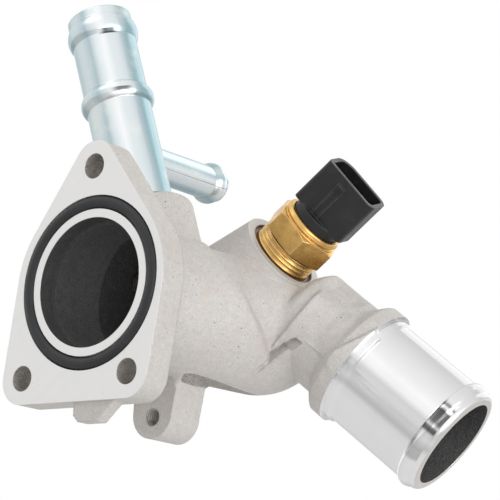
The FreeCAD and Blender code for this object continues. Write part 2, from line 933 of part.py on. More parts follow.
def make_sensor_connector():
    """The black moulding crimped into the brass, with the socket for the loom's plug."""
    body = new_body("sensor_connector")
    foot = sketch_on(body, "foot_profile", "XY_Plane", turned(SENSOR))
    shoulder = "crimp_top - crimp_lip - foot_clearance"
    polygon(
        foot,
        [
            ("crimp_floor", "0"),
            ("crimp_floor", "crimp_bore_radius - foot_clearance"),
            ("seal_groove_start", "crimp_bore_radius - foot_clearance"),
            ("seal_groove_start", "seal_groove_radius"),
            ("seal_groove_start + seal_groove_length", "seal_groove_radius"),
            ("seal_groove_start + seal_groove_length", "crimp_bore_radius - foot_clearance"),
            (shoulder, "crimp_bore_radius - foot_clearance"),
            (shoulder, "foot_radius"),
            ("shroud_start + 0.5", "foot_radius"),
            ("shroud_start + 0.5", "0"),
        ],
    )
    revolve(body, "foot", foot)
    shell = shroud_outline(body, "shroud_sketch", "shroud_start", "0")
    feature = pad(body, "shroud", shell, "shroud_end - shroud_start")
    feature.Reversed = False
    doc.recompute()
    socket = shroud_outline(body, "socket_sketch", "shroud_end", "shroud_wall")
    pocket(body, "socket", socket, "socket_depth")
    ramp = sketch_on(
        body,
        "latch_profile",
        "XY_Plane",
        along(SENSOR, "0", "connector_spin_angle")
        + " * placement(vector(latch_shift - latch_width / 2; 0; 0); rotation(0; 0; 0))"
        + " * placement(vector(0; 0; 0); rotation(0; -90; 0))",
    )
    foot_of_ramp = "shroud_end - latch_back - latch_length"
    polygon(
        ramp,
        [
            (foot_of_ramp, "-shroud_depth / 2 + 0.4"),
            (foot_of_ramp, "-shroud_depth / 2 - 0.3"),
            ("shroud_end - latch_back - 0.4", "-shroud_depth / 2 - latch_height"),
            ("shroud_end - latch_back", "-shroud_depth / 2 - latch_height + 0.2"),
            ("shroud_end - latch_back", "-shroud_depth / 2 + 0.4"),
        ],
    )
    pad(body, "latch", ramp, "latch_width")
    for side, name in (("-", "left"), ("", "right")):
        solid(
            body,
            "AdditiveBox",
            "rib_" + name,
            along(SENSOR, "shroud_start", "connector_spin_angle")
            + " * placement(vector(latch_shift %s (latch_width - rib_width) / 2" % (side or "+")
            + " - rib_width / 2; -shroud_depth / 2 - rib_height; 0); rotation(0; 0; 0))",
            Length="rib_width",
            Width="rib_height + 0.4",
            Height="shroud_end - shroud_start - latch_back - latch_length + 0.5",
        )
        solid(
            body,
            "SubtractiveBox",
            "slot_" + name,
            along(SENSOR, "crimp_floor - 1", "connector_spin_angle")
            + " * placement(vector(%sblade_spacing / 2 - blade_width / 2 - blade_clearance;" % side
            + " -blade_thick / 2 - blade_clearance; 0); rotation(0; 0; 0))",
            Length="blade_width + 2 * blade_clearance",
            Width="blade_thick + 2 * blade_clearance",
            Height="shroud_end - socket_depth - crimp_floor + 2",
        )
    return body


def make_seal():
    body = new_body("connector_seal")
    solid(
        body,
        "AdditiveTorus",
        "ring",
        along(SENSOR, "seal_groove_start + seal_groove_length / 2"),
        Radius1="(seal_groove_radius + crimp_bore_radius) / 2",
        Radius2="seal_radius",
    )
    return body


def make_terminal(name, side):
    """A blade with its foot bent towards the middle, where the element's lead ends."""
    body = new_body(name)
    base = along(SENSOR, "blade_bottom", "connector_spin_angle")
    solid(
        body,
        "AdditiveBox",
        "foot",
        base + " * placement(vector(%s; -blade_thick / 2; 0); rotation(0; 0; 0))"
        % ("-blade_spacing / 2 - blade_width / 2" if side < 0 else "lead_spacing / 2 - 0.5"),
        Length="blade_spacing / 2 + blade_width / 2 - lead_spacing / 2 + 0.5",
        Width="blade_thick",
        Height="blade_foot",
    )
    solid(
        body,
        "AdditiveBox",
        "blade",
        base + " * placement(vector(%sblade_spacing / 2 - blade_width / 2;" % ("-" if side < 0 else "")
        + " -blade_thick / 2; 0); rotation(0; 0; 0))",
        Length="blade_width",
        Width="blade_thick",
        Height="blade_top - blade_bottom",
    )
    return body


ELEMENT_TOP = "-probe_depth + probe_tip + element_thick"


def make_lead(name, side):
    body = new_body(name)
    solid(
        body,
        "AdditiveCylinder",
        "wire",
        along(SENSOR, ELEMENT_TOP, "connector_spin_angle")
        + " * placement(vector(%slead_spacing / 2; 0; 0); rotation(0; 0; 0))"
        % ("-" if side < 0 else ""),
        Radius="lead_radius",
        Height="blade_bottom - (%s)" % ELEMENT_TOP,
    )
    return body


def make_element():
    body = new_body("thermistor")
    solid(body, "AdditiveCylinder", "disc", along(SENSOR, "-probe_depth + probe_tip"),
          Radius="element_radius", Height="element_thick")
    return body


def make_sleeve():
    body = new_body("insulating_sleeve")
    base = along(SENSOR, "-probe_depth + probe_tip")
    solid(body, "AdditiveCylinder", "tube", base, Radius="sleeve_radius", Height="sleeve_length")
    solid(body, "SubtractiveCylinder", "bore", base, Radius="sleeve_bore_radius",
          Height="sleeve_length + 1")
    return body


MAKERS = [
    make_housing,
    make_ring,
    make_heater_pipe,
    make_bypass_pipe,
    make_sensor_body,
    make_sensor_connector,
    make_seal,
    lambda: make_terminal("terminal_left", -1),
    lambda: make_terminal("terminal_right", 1),
    make_element,
    lambda: make_lead("lead_left", -1),
    lambda: make_lead("lead_right", 1),
    make_sleeve,
]
bodies = [maker() for maker in MAKERS]
doc.recompute()


# Checks and files

for thing in doc.Objects:
    if "Invalid" in thing.State or "Error" in thing.State:
        raise RuntimeError("%s failed: %s" % (thing.Name, thing.State))
os.makedirs("parts", exist_ok=True)
for body in bodies:
    shape = body.Shape
    if shape.isNull() or not shape.isValid():
        raise RuntimeError(body.Label + " has no valid shape")
    shape.exportStep(os.path.join("parts", body.Label + ".step"))
    print("%-20s solids %d  volume %.1f" % (body.Label, len(shape.Solids), shape.Volume))
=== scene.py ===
import json
import math

import bmesh
import bpy
import numpy
from mathutils import Matrix, Vector
from mathutils.bvhtree import BVHTree


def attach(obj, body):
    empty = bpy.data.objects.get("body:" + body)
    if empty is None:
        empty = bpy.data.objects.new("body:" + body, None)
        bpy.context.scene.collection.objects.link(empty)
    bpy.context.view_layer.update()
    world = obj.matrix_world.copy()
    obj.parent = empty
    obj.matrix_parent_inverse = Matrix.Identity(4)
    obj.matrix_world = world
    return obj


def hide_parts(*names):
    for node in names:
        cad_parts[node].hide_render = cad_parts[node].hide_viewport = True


bl_info = {
    "name": "Coolant flange",
    "version": (1, 0, 0),
    "blender": (4, 5, 0),
    "location": "View3D > Sidebar > Flange",
    "description": "Finishes a coolant flange's casting, pipes and sensor, and lights it",
    "category": "Object",
}

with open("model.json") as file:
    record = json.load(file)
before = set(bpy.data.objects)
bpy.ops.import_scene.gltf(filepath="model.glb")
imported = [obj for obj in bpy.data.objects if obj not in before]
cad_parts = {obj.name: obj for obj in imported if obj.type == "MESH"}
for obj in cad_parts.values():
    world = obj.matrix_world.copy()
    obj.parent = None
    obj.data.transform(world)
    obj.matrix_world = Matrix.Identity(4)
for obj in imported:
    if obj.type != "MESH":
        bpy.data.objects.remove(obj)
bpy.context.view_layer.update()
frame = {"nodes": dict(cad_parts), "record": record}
NODES = frame["nodes"]
MOUNTS = {row["name"]: row for row in frame["record"]["mounts"]}
MM = 0.001
ORIGIN = Vector((0, 0, 0))
RIGHT = Vector((1, 0, 0))
BACK = Vector((0, 1, 0))
UP = Vector((0, 0, 1))


def mount_axis(name):
    """The place and direction of a mount of the frame, in metres."""
    row = MOUNTS[name]
    return Vector(row["pos_m"]), Vector(row["axis"]).normalized()


def mount_radius(name):
    """The radius of a mount of the frame, in metres."""
    return MOUNTS[name]["dims"]["r_mm"] * MM


# Axes of the casting. The passage runs from the port to the elbow.
ELBOW = Vector((0.023306, 0.059033, -0.004104))
PASSAGE_DIRECTION = ELBOW.normalized()
PASSAGE_LENGTH = ELBOW.length
NECK_PLACE, NECK_DIRECTION = mount_axis("hose_neck")
MOUTH_FROM_MOUNT = 0.021
MOUTH = NECK_PLACE + NECK_DIRECTION * MOUTH_FROM_MOUNT
SENSOR_TILT = math.radians(36.5)
SENSOR = ELBOW + Vector((0.00842, 0, 0.0227))
SENSOR_DIRECTION = Vector((math.cos(SENSOR_TILT), 0, math.sin(SENSOR_TILT)))
HEATER_PLACE, HEATER_DIRECTION = mount_axis("heater_spigot")
HEATER_MOUNT_HEIGHT = 0.0894
HEATER = HEATER_PLACE - HEATER_DIRECTION * HEATER_MOUNT_HEIGHT
BRANCH_HEIGHT = 0.056
BRANCH = HEATER + HEATER_DIRECTION * BRANCH_HEIGHT
LUG_PLACE, LUG_DIRECTION = mount_axis("bracket_thread")
LUG_THICK = MOUNTS["bracket_thread"]["dims"]["length_mm"] * MM


# Limits between the casting's surfaces in metres, each a little past the edge that it stands for
FACE_SKIN = 0.00006
BEHIND_FACE = 0.0001
PORT_INSIDE = 0.0214
PORT_DEPTH = 0.0085
PORT_BALL = 0.0213
PASSAGE_INSIDE = 0.0172
PASSAGE_START = 0.004
NECK_INSIDE = 0.0166
NECK_INSIDE_RUN = (-0.05, -0.0003)
NECK_TURNED_START = -0.0391
NECK_BEAD_RUN = (-0.0066, -0.0018)
MOUTH_RIM = 0.0185
MOUTH_RIM_START = -0.0012
SEAT_RADIUS = 0.0174
SEAT_RUN = (-0.0013, 0.00025)
SEAT_STAIN = 0.0127
SEAT_RINGS_PER_METRE = 9000.0
GROOVE_DEPTHS = (0.0001, 0.004)
GROOVE_RADII = (0.0236, 0.0289)
BOLT_HOLE_INSIDE = 0.0043
SENSOR_THREAD_RADIUS = 0.01075

# Small pieces, in metres: how far one reaches into what carries it, the thread's height, where
# the heel starts below the sensor's seat, and how far it stays from the passage's axis
SUNK = 0.0001
THREAD_HEIGHT = 0.00052
HEEL_TOP = 0.0218
PASSAGE_CLEAR = 0.0176
THREAD_SEGMENTS = 24
BRAZE_SEGMENTS = 64
HEEL_SEGMENTS = 96


# Small forms of the cast skin, each along a line of places in millimetres

def line_of(*points):
    return [numpy.array(point, float) for point in points]


CAST_SHARP = 0.55
VALLEY = line_of(
    (26.5, 33.6, 14.5), (28.8, 33.4, 10.7), (33.5, 33.5, 3.0), (37.2, 34.7, -4.2),
    (38.2, 39.2, -10.6), (36.1, 47.4, -15.0),
)
NECK_CREASE = line_of(
    (50.9, 56.2, 4.7), (48.9, 51.8, -0.6), (45.2, 49.7, -6.0), (39.8, 49.8, -11.5),
    (36.8, 47.8, -16.9),
)
LEDGE = line_of(
    (32.4, 47.3, -23.6), (35.9, 48.4, -21.4), (39.6, 50.1, -18.7), (43.6, 51.4, -16.0),
    (47.8, 51.8, -14.0),
)
COLLAR_FOOT = line_of(
    (55.4, 53.3, -18.1), (62.3, 52.4, -15.7), (67.5, 55.8, -12.2), (71.0, 61.0, -8.6)
)
THROAT_BACK = line_of(
    (49.0, 62.5, 9.5), (53.0, 63.5, 7.0), (57.5, 65.5, 3.5), (61.0, 67.0, 1.0)
)
PARTING = line_of(
    (46.3, 50.9, -11.4), (47.8, 51.8, -14.0), (49.0, 51.8, -13.4), (55.1, 53.2, -18.7),
    (60.9, 53.9, -23.8),
)
DOME_EDGE = line_of(
    (46.5, 52.5, 4.0), (45.7, 50.2, 0.0), (44.2, 49.2, -3.7), (42.8, 49.2, -7.2),
    (42.0, 50.1, -10.9),
)
COLLAR_EDGE = line_of(
    (54.6, 53.3, -19.0), (56.2, 54.0, -14.8), (58.1, 55.0, -10.8), (60.5, 57.8, -6.9),
    (62.7, 61.7, -4.4),
)
LUG_ROOT = line_of(
    (16.0, 26.5, -26.0), (17.6, 32.0, -26.1), (18.2, 37.0, -26.6), (19.5, 43.0, -27.0),
    (21.0, 50.0, -27.7),
)
# line, reach, rounds of smoothing
FILLETS = [
    (DOME_EDGE, 4.2, 40),
    (VALLEY, 4.6, 70),
    (COLLAR_EDGE, 3.6, 20),
    (LUG_ROOT, 5.0, 30),
]
# line, direction, height, width, share of the line that each end fades over
SWELLS = [
    (VALLEY, (0.75, -0.45, 0.45), 2.0, 2.0, 0.15),
    (THROAT_BACK, (0.54, 0.21, 0.82), -2.2, 4.8, 0.25),
    (COLLAR_EDGE, (0.55, -0.75, 0.3), 1.3, 2.4, 0.15),
]
# direction, height, width, share that each end fades over
SEAM = ((0.1, -0.95, -0.2), 0.35, 0.3, 0.02)
# line, direction, side that lies lower, lip, lip's run, drop, drop's run, width of the edge, fade
STEPS = [
    (NECK_CREASE, (0.5, -0.8, 0.1), (-0.54, -0.6, 0.59), 2.1, 4.5, 0.5, 4.0, 1.5, 0.12),
    (COLLAR_FOOT, (0.45, -0.75, -0.2), (-0.35, -0.3, 0.9), 1.6, 5.0, 0.3, 2.5, 0.4, 0.06),
]
# The wedge that the mould's halves leave at the ledge: direction, side and depth, and its width
# at shares of the line
WEDGE = (
    (0.6, -0.6, -0.4), (-0.45, -0.4, 0.8), 3.2,
    ([0.0, 0.06, 0.3, 0.42, 0.93, 0.98, 1.0], [0.0, 0.5, 0.9, 3.0, 2.5, 0.8, 0.0]),
)
WEDGE_FULL_WIDTH = 1.8
WEDGE_WALL = 0.5
WEDGE_LIP = 0.4
WEDGE_REACH = 5
# Edges near a form's line are split down to these: distance from the line, edge length
SOFT_MESH = [(9, 1.1), (4, 0.6)]
SHARP_MESH = [(1.4, 0.4), (0.6, 0.2)]
SPLIT_ROUNDS = 9


# Painted reflections, as grey levels at shares of a turn, from 0 behind to 0.5 at the front right;
# they stay fixed on the pieces

NECK_PAINTED_REFLECTIONS = [
    (0.0, 0.6), (0.24, 0.7), (0.275, 0.46), (0.32, 0.49), (0.36, 0.67), (0.4, 0.79),
    (0.44, 0.9), (0.462, 1.0), (0.484, 0.93), (0.5, 0.64), (0.52, 0.69), (0.54, 0.86),
    (0.56, 0.64), (0.575, 0.95), (0.6, 1.0), (0.7, 1.0), (0.74, 0.7), (0.85, 0.6),
]
# The bead's painted dark reflections
BEAD_PAINTED_REFLECTIONS = [
    (0.0, 0.0), (0.425, 0.0), (0.436, 0.95), (0.44, 0.0), (0.444, 0.0), (0.452, 0.95),
    (0.49, 0.85), (0.5, 0.0), (0.505, 0.8), (0.515, 0.9), (0.522, 0.0), (0.56, 0.0),
    (0.57, 0.35), (0.6, 0.4), (0.61, 0.0),
]
# The pipes' painted reflections
PIPE_PAINTED_REFLECTIONS = [
    (0.0, 0.3), (0.3, 0.12), (0.33, 0.14), (0.365, 0.41), (0.405, 0.46), (0.445, 0.22),
    (0.465, 0.46), (0.505, 0.78), (0.525, 0.94), (0.55, 0.72), (0.58, 0.66), (0.605, 0.56),
    (0.625, 0.27), (0.66, 0.03), (0.73, 0.02), (0.78, 0.15), (1.0, 0.3),
]
# Shade under the pipe's two beads: start and end along the pipe in metres, and strength
PIPE_SHADES = [(0.0985, 0.1003, 0.95), (0.0749, 0.0763, 0.8)]
PIPE_SHADE_TURN = 0.535

# Tints that go with the colours of the settings
GRAIN_SHADE = (0.3, 0.285, 0.27)
PIT_SHADE = (0.14, 0.13, 0.12)
RUBBED_CAST = (0.84, 0.83, 0.81)
# Painted reflections of the polished neck, its dark and bright ends, then its turning marks
POLISH_DARK_REFLECTION = (0.1, 0.1, 0.105)
POLISH_BRIGHT_REFLECTION = (0.97, 0.97, 0.98)
POLISH_MARKS = (0.45, 0.45, 0.46)
# Painted dark reflection on the neck's bead
BEAD_DARK_REFLECTION = (0.035, 0.035, 0.037)
MOUTH_TINT = (0.74, 0.71, 0.675)
FACE_MARKS = (0.5, 0.49, 0.48)
FACE_PITS = (0.3, 0.29, 0.28)
GROOVE_TINT = (0.5, 0.49, 0.48)
# Grain in the painted shade inside the passages
INSIDE_SHADE_GRAIN = (0.1, 0.097, 0.095)
SEAT_LIGHT = (0.66, 0.64, 0.61)
SEAT_DARK = (0.4, 0.37, 0.34)
SEAT_STAINED = (0.25, 0.2, 0.15)
# Painted shade in the bolt holes, dark and light with the grain
HOLE_SHADE_DARK = (0.2, 0.175, 0.155)
HOLE_SHADE_LIGHT = (0.46, 0.43, 0.4)
# Pale end of the pipes' painted reflections
ZINC_BRIGHT_REFLECTION = (0.97, 0.99, 1.0)
ZINC_EDGE = (0.3, 0.36, 0.38)
ZINC_SHADE = (0.04, 0.055, 0.06)
WELD_SEAM = (0.12, 0.13, 0.13)
BRASS_DEEP = (0.3, 0.16, 0.05)
BRASS_EDGE = (0.98, 0.8, 0.45)
PLASTIC_DUST = (0.028, 0.028, 0.03)
PLASTIC_EDGE = (0.09, 0.09, 0.092)
RUBBER_BLOOM = (0.035, 0.037, 0.04)
FLOOR_CLOUD = (0.7, 0.7, 0.7)

# The stage: each lamp's name, place, power and width
LAMPS = [
    ("key", (1.2, -0.2, -0.1), 8.4, 0.9),
    ("low", (0.75, -0.6, -0.2), 0.9, 0.5),
    ("top", (-0.4, -0.7, 1.1), 1.3, 0.8),
    ("back", (0.1, 1.2, 0.7), 2.0, 1.0),
]
LAMP_AIM = Vector((0.02, 0.04, 0.02))
FLOOR_REACH = 3.0
CAMERA_PLACE = (0.515355, -0.549517, -0.148178)
CAMERA_RIGHT = Vector((0.7804777, 0.6224343, 0.0585676))
CAMERA_DOWN = Vector((-0.0866647, 0.2004924, -0.9758545))
CAMERA_AHEAD = Vector((-0.6191477, 0.7565569, 0.2104229))
FRONT_RIGHT = Vector((0.515, -0.55, -0.148))


# Sizes and colours that a user would change

def colour(name, value, description):
    return bpy.props.FloatVectorProperty(
        name=name, description=description, subtype="COLOR", size=3, min=0, max=1, default=value
    )


def length(name, value, description):
    return bpy.props.FloatProperty(
        name=name, description=description, subtype="DISTANCE", unit="LENGTH", default=value
    )


def share(name, value, description):
    return bpy.props.FloatProperty(
        name=name, description=description, subtype="FACTOR", min=0, max=1, default=value
    )


class CastingSettings(bpy.types.PropertyGroup):
    cast_colour: colour("Cast skin", (0.675, 0.646, 0.613), "Colour of the bare cast surfaces")
    stain_colour: colour("Stain", (0.6, 0.515, 0.45), "Warm stains left on the cast skin")
    machined_colour: colour("Machined face", (0.76, 0.755, 0.745), "Milled and turned surfaces")
    # Painted shade: the inside colour stands for the shade in the water passages, not the skin's
    # own colour
    inside_shade_colour: colour("Inside", (0.045, 0.044, 0.044), "Dark skin of the water passages")
    grain_size: length("Grain", 0.00048, "Width of one grain of the cast skin")
    soft_radius: length("Soft edges", 0.0009, "Radius that the cast edges look rounded to")
    thread_step: length("Thread step", 0.001, "Distance between turns of the bracket thread")
    heel_start: length("Heel start", 0.0199, "Radius of the sensor boss's heel at the boss")
    heel_end: length("Heel end", 0.008, "Radius of the heel at its low end")
    heel_length: length("Heel length", 0.0112, "Length of the heel along the sensor")


class PipeSettings(bpy.types.PropertyGroup):
    zinc_colour: colour("Zinc", (0.285, 0.42, 0.46), "Pale blue of the zinc plating")
    straw_colour: colour("Straw tint", (0.86, 0.84, 0.75), "Yellowish tint of the plating")
    roughness: share("Roughness", 0.24, "How dull the plating is")
    braze_radius: length("Braze", 0.0009, "Size of the fillet where the branch joins the pipe")


class SensorSettings(bpy.types.PropertyGroup):
    brass_colour: colour("Brass", (0.78, 0.5, 0.17), "Turned brass of the sensor's shell")
    brass_dark: colour("Brass tarnish", (0.42, 0.24, 0.07), "Tarnish in the brass's grooves")
    plastic_colour: colour("Plastic", (0.008, 0.008, 0.009), "Black moulded connector")
    rubber_colour: colour("Rubber", (0.012, 0.0125, 0.014), "Black rubber of the rings")
    blade_colour: colour("Blades", (0.72, 0.7, 0.66), "Tinned blades and leads")


class StageSettings(bpy.types.PropertyGroup):
    floor_colour: colour("Floor", (0.95, 0.95, 0.95), "Colour of the floor")
    floor_height: length("Floor height", -0.26, "Height of the floor in the part's frame")
    sky_strength: share("Sky", 0.6, "Light from all round")
    lens: bpy.props.FloatProperty(
        name="Lens", description="Focal length", subtype="DISTANCE_CAMERA", default=172.8
    )


# Shader nodes

class Tree:
    """Short calls that add nodes to a node tree and link them."""

    def __init__(self, tree):
        self.tree = tree

    def node(self, kind, inputs=None, **settings):
        made = self.tree.nodes.new(kind)
        for name, value in settings.items():
            setattr(made, name, value)
        for name, value in (inputs or {}).items():
            self.put(made.inputs[name], value)
        return made

    def put(self, socket, value):
        if isinstance(value, bpy.types.NodeSocket):
            self.tree.links.new(value, socket)
        elif isinstance(value, (int, float)) or len(value) == len(socket.default_value):
            socket.default_value = value
        else:
            socket.default_value = (*value, 1.0)

    def math(self, operation, *values, clamp=False):
        made = self.tree.nodes.new("ShaderNodeMath")
        made.operation = operation
        made.use_clamp = clamp
        for socket, value in zip(made.inputs, values):
            self.put(socket, value)
        return made.outputs[0]

    def vector(self, operation, *values, scale=None):
        made = self.tree.nodes.new("ShaderNodeVectorMath")
        made.operation = operation
        for socket, value in zip(made.inputs, values):
            self.put(socket, value)
        if scale is not None:
            self.put(made.inputs["Scale"], scale)
        return made.outputs["Value"] if operation in ("DOT_PRODUCT", "LENGTH") else made.outputs[0]

    def mix(self, factor, one, two):
        made = self.tree.nodes.new("ShaderNodeMix")
        made.data_type = "RGBA"
        self.put(made.inputs[0], factor)
        self.put(made.inputs[6], one)
        self.put(made.inputs[7], two)
        return made.outputs[2]

    def blend(self, factor, one, two):
        """A number between two others."""
        made = self.tree.nodes.new("ShaderNodeMix")
        made.data_type = "FLOAT"
        self.put(made.inputs[0], factor)
        self.put(made.inputs[2], one)
        self.put(made.inputs[3], two)
        return made.outputs[0]

    def step(self, value, low, high, start=0.0, end=1.0):
        """A smooth change from start to end while a value goes from low to high."""
        made = self.node("ShaderNodeMapRange", interpolation_type="SMOOTHSTEP")
        for socket, number in zip(made.inputs, (value, low, high, start, end)):
            self.put(socket, number)
        return made.outputs[0]

    def ramp(self, value, stops):
        """Grey levels at given places, with straight changes between them."""
        made = self.node("ShaderNodeValToRGB", {"Fac": value})
        spots = made.color_ramp.elements
        while len(spots) < len(stops):
            spots.new(0.5)
        for spot, (place, level) in zip(spots, stops):
            spot.position = place
            spot.color = (level, level, level, 1)
        return made.outputs[0]

    def noise(self, place, scale, detail=2.0, roughness=0.5):
        return self.node(
            "ShaderNodeTexNoise",
            {"Vector": place, "Scale": scale, "Detail": detail, "Roughness": roughness},
        ).outputs[0]

    def group(self, name, **inputs):
        made = self.tree.nodes.new("ShaderNodeGroup")
        made.node_tree = bpy.data.node_groups[name]
        for key, value in inputs.items():
            self.put(made.inputs[key], value)
        return made.outputs

    def times(self, one, other):
        return self.math("MULTIPLY", one, other)

    def below(self, value, limit):
        return self.math("LESS_THAN", value, limit)

    def above(self, value, limit):
        return self.math("GREATER_THAN", value, limit)

    def between(self, value, low, high):
        return self.times(self.above(value, low), self.below(value, high))

    def all_of(self, mask, *others):
        for other in others:
            mask = self.times(mask, other)
        return mask

    def any_of(self, mask, *others):
        for other in others:
            mask = self.math("MAXIMUM", mask, other)
        return mask


def new_group(name, inputs, outputs):
    """A shader node group with named sockets, and the tree to fill it with."""
    made = bpy.data.node_groups.new(name, "ShaderNodeTree")
    for direction, rows in (("INPUT", inputs), ("OUTPUT", outputs)):
        for title, kind, default in rows:
            socket = made.interface.new_socket(name=title, in_out=direction, socket_type=kind)
            if default is not None:
                socket.default_value = default
    tree = Tree(made)
    start = tree.node("NodeGroupInput").outputs
    end = tree.node("NodeGroupOutput").inputs
    return tree, start, end


def build_groups():
    """The effects that several materials share."""
    number, arrow = "NodeSocketFloat", "NodeSocketVector"

    tree, start, end = new_group(
        "Round an axis",
        [("Place", arrow, None), ("Base", arrow, None), ("Axis", arrow, (0, 0, 1)),
         ("Side", arrow, (1, 0, 0))],
        [("Along", number, None), ("Radius", number, None), ("Turn", number, None)],
    )
    offset = tree.vector("SUBTRACT", start["Place"], start["Base"])
    along = tree.vector("DOT_PRODUCT", offset, start["Axis"])
    across = tree.vector("SUBTRACT", offset, tree.vector("SCALE", start["Axis"], scale=along))
    other = tree.vector("CROSS_PRODUCT", start["Axis"], start["Side"])
    turn = tree.math(
        "ARCTAN2",
        tree.vector("DOT_PRODUCT", across, other),
        tree.vector("DOT_PRODUCT", across, start["Side"]),
    )
    tree.put(end["Along"], along)
    tree.put(end["Radius"], tree.vector("LENGTH", across))
    tree.put(end["Turn"], tree.math("MULTIPLY_ADD", turn, 0.5 / math.pi, 0.5))

    tree, start, end = new_group(
        "Cast grain",
        [("Place", arrow, None), ("Grain", number, 0.0006)],
        [("Height", number, None), ("Pits", number, None), ("Stain", number, None)],
    )
    scale = tree.math("DIVIDE", 1.0, start["Grain"])
    fine = tree.noise(start["Place"], scale, 3.0, 0.62)
    coarse = tree.noise(start["Place"], tree.times(scale, 0.22), 2.0, 0.5)
    pits = tree.node(
        "ShaderNodeTexVoronoi",
        {"Vector": start["Place"], "Scale": tree.times(scale, 0.24)},
    ).outputs["Distance"]
    pit_mask = tree.times(tree.step(pits, 0.06, 0.16, 1.0, 0.0), tree.step(coarse, 0.55, 0.66))
    height = tree.math("MULTIPLY_ADD", coarse, 0.35, fine)
    tree.put(end["Height"], tree.math("MULTIPLY_ADD", pit_mask, -1.3, height))
    tree.put(end["Pits"], pit_mask)
    stain = tree.noise(start["Place"], tree.times(scale, 0.034), 3.0, 0.6)
    tree.put(end["Stain"], tree.step(stain, 0.5, 0.72))

    tree, start, end = new_group(
        "Edge wear",
        [("Reach", number, 0.0005), ("Amount", number, 1.0)],
        [("Mask", number, None), ("Soft normal", arrow, None)],
    )
    soft = tree.node("ShaderNodeBevel", {"Radius": start["Reach"]}, samples=8).outputs[0]
    plain = tree.node("ShaderNodeNewGeometry").outputs["Normal"]
    apart = tree.math("SUBTRACT", 1.0, tree.vector("DOT_PRODUCT", soft, plain))
    worn = tree.step(apart, 0.01, 0.12)
    tree.put(end["Mask"], tree.math("MULTIPLY", worn, start["Amount"], clamp=True))
    tree.put(end["Soft normal"], soft)

    tree, start, end = new_group(
        "Turning marks",
        [("Along", number, 0.0), ("Step", number, 0.0003), ("Place", arrow, None)],
        [("Height", number, None), ("Shade", number, None)],
    )
    lines = tree.node(
        "ShaderNodeTexNoise",
        {"W": tree.math("DIVIDE", start["Along"], start["Step"]), "Scale": 1.0, "Detail": 2.0},
        noise_dimensions="1D",
    ).outputs[0]
    soil = tree.noise(start["Place"], 120.0, 3.0, 0.6)
    tree.put(end["Height"], lines)
    tree.put(end["Shade"], tree.math("MULTIPLY_ADD", lines, 0.5, tree.times(soil, 0.5)))


def new_material(name):
    """A material with a Principled shader, its tree, and the place on the piece."""
    material = bpy.data.materials.new(name)
    material.use_nodes = True
    tree = Tree(material.node_tree)
    shader = material.node_tree.nodes["Principled BSDF"]
    place = tree.node("ShaderNodeTexCoord").outputs["Object"]
    return material, tree, shader, place


def bump(tree, height, distance, normal=None, strength=1.0):
    """A normal raised by a height, over another normal if one is given."""
    inputs = {"Height": height, "Distance": distance, "Strength": strength}
    if normal is not None:
        inputs["Normal"] = normal
    return tree.node("ShaderNodeBump", inputs).outputs[0]


def dress(node, material):
    """Gives a node of the frame its material."""
    slots = NODES[node].data.materials
    slots.clear()
    slots.append(material)


def facing_side(place, direction):
    """A direction square to an axis, on the side that faces the front right."""
    look = FRONT_RIGHT - place
    return (look - direction * look.dot(direction)).normalized()


def round_axis(tree, place, base, axis, side):
    """Where a place lies along, from and round an axis of the part."""
    return tree.group("Round an axis", Place=place, Base=base, Axis=axis, Side=side)


def skin_colour(tree, settings, grain, edge):
    """Cast skin: light, with warm stains, dark pits and rubbed edges."""
    dusk = tree.step(grain["Height"], 0.45, 0.85, 0.33, 0.0)
    made = tree.mix(dusk, settings.cast_colour, GRAIN_SHADE)
    made = tree.mix(tree.times(grain["Stain"], 0.28), made, settings.stain_colour)
    made = tree.mix(tree.times(grain["Pits"], 0.75), made, PIT_SHADE)
    return tree.mix(tree.times(edge["Mask"], 0.35), made, RUBBED_CAST)


def neck_colour(tree, neck, marks):
    """Turned neck: painted reflections as long streaks round it, turning marks, painted dark
    reflections on the bead, and a plain mouth.
    """
    # Painted reflections: the neck's grey levels round its axis, from dark to bright
    made = tree.mix(tree.ramp(neck["Turn"], NECK_PAINTED_REFLECTIONS), POLISH_DARK_REFLECTION, POLISH_BRIGHT_REFLECTION)
    made = tree.mix(tree.step(marks["Shade"], 0.25, 0.75, 0.1, 0.0), made, POLISH_MARKS)
    # Painted reflection: dark patches on the bead, at fixed turns round it
    on_bead = tree.between(neck["Along"], *NECK_BEAD_RUN)
    bead_reflection = tree.times(on_bead, tree.ramp(neck["Turn"], BEAD_PAINTED_REFLECTIONS))
    made = tree.mix(bead_reflection, made, BEAD_DARK_REFLECTION)
    rim = tree.all_of(
        tree.above(neck["Along"], MOUTH_RIM_START), tree.below(neck["Radius"], MOUTH_RIM)
    )
    return tree.mix(rim, made, MOUTH_TINT)


def seat_colour(tree, seat):
    """The sensor's seat: turned rings, and a stain next to the thread."""
    rings = tree.math("SINE", tree.times(seat["Radius"], SEAT_RINGS_PER_METRE))
    made = tree.mix(tree.step(rings, 0.2, 0.9, 0.0, 0.35), SEAT_LIGHT, SEAT_DARK)
    return tree.mix(tree.below(seat["Radius"], SEAT_STAIN), made, SEAT_STAINED)


def face_colour(tree, settings, grain, face, seat, place):
    """Milled face: faint arcs of the cutter and a few open pits."""
    marks = tree.group("Turning marks", Along=seat["Radius"], Step=0.0005, Place=place)
    arcs = tree.step(marks["Shade"], 0.3, 0.7, 0.06, 0.0)
    made = tree.mix(arcs, settings.machined_colour, FACE_MARKS)
    pits = tree.times(grain["Pits"], face)
    return tree.mix(tree.times(pits, 0.35), made, FACE_PITS)


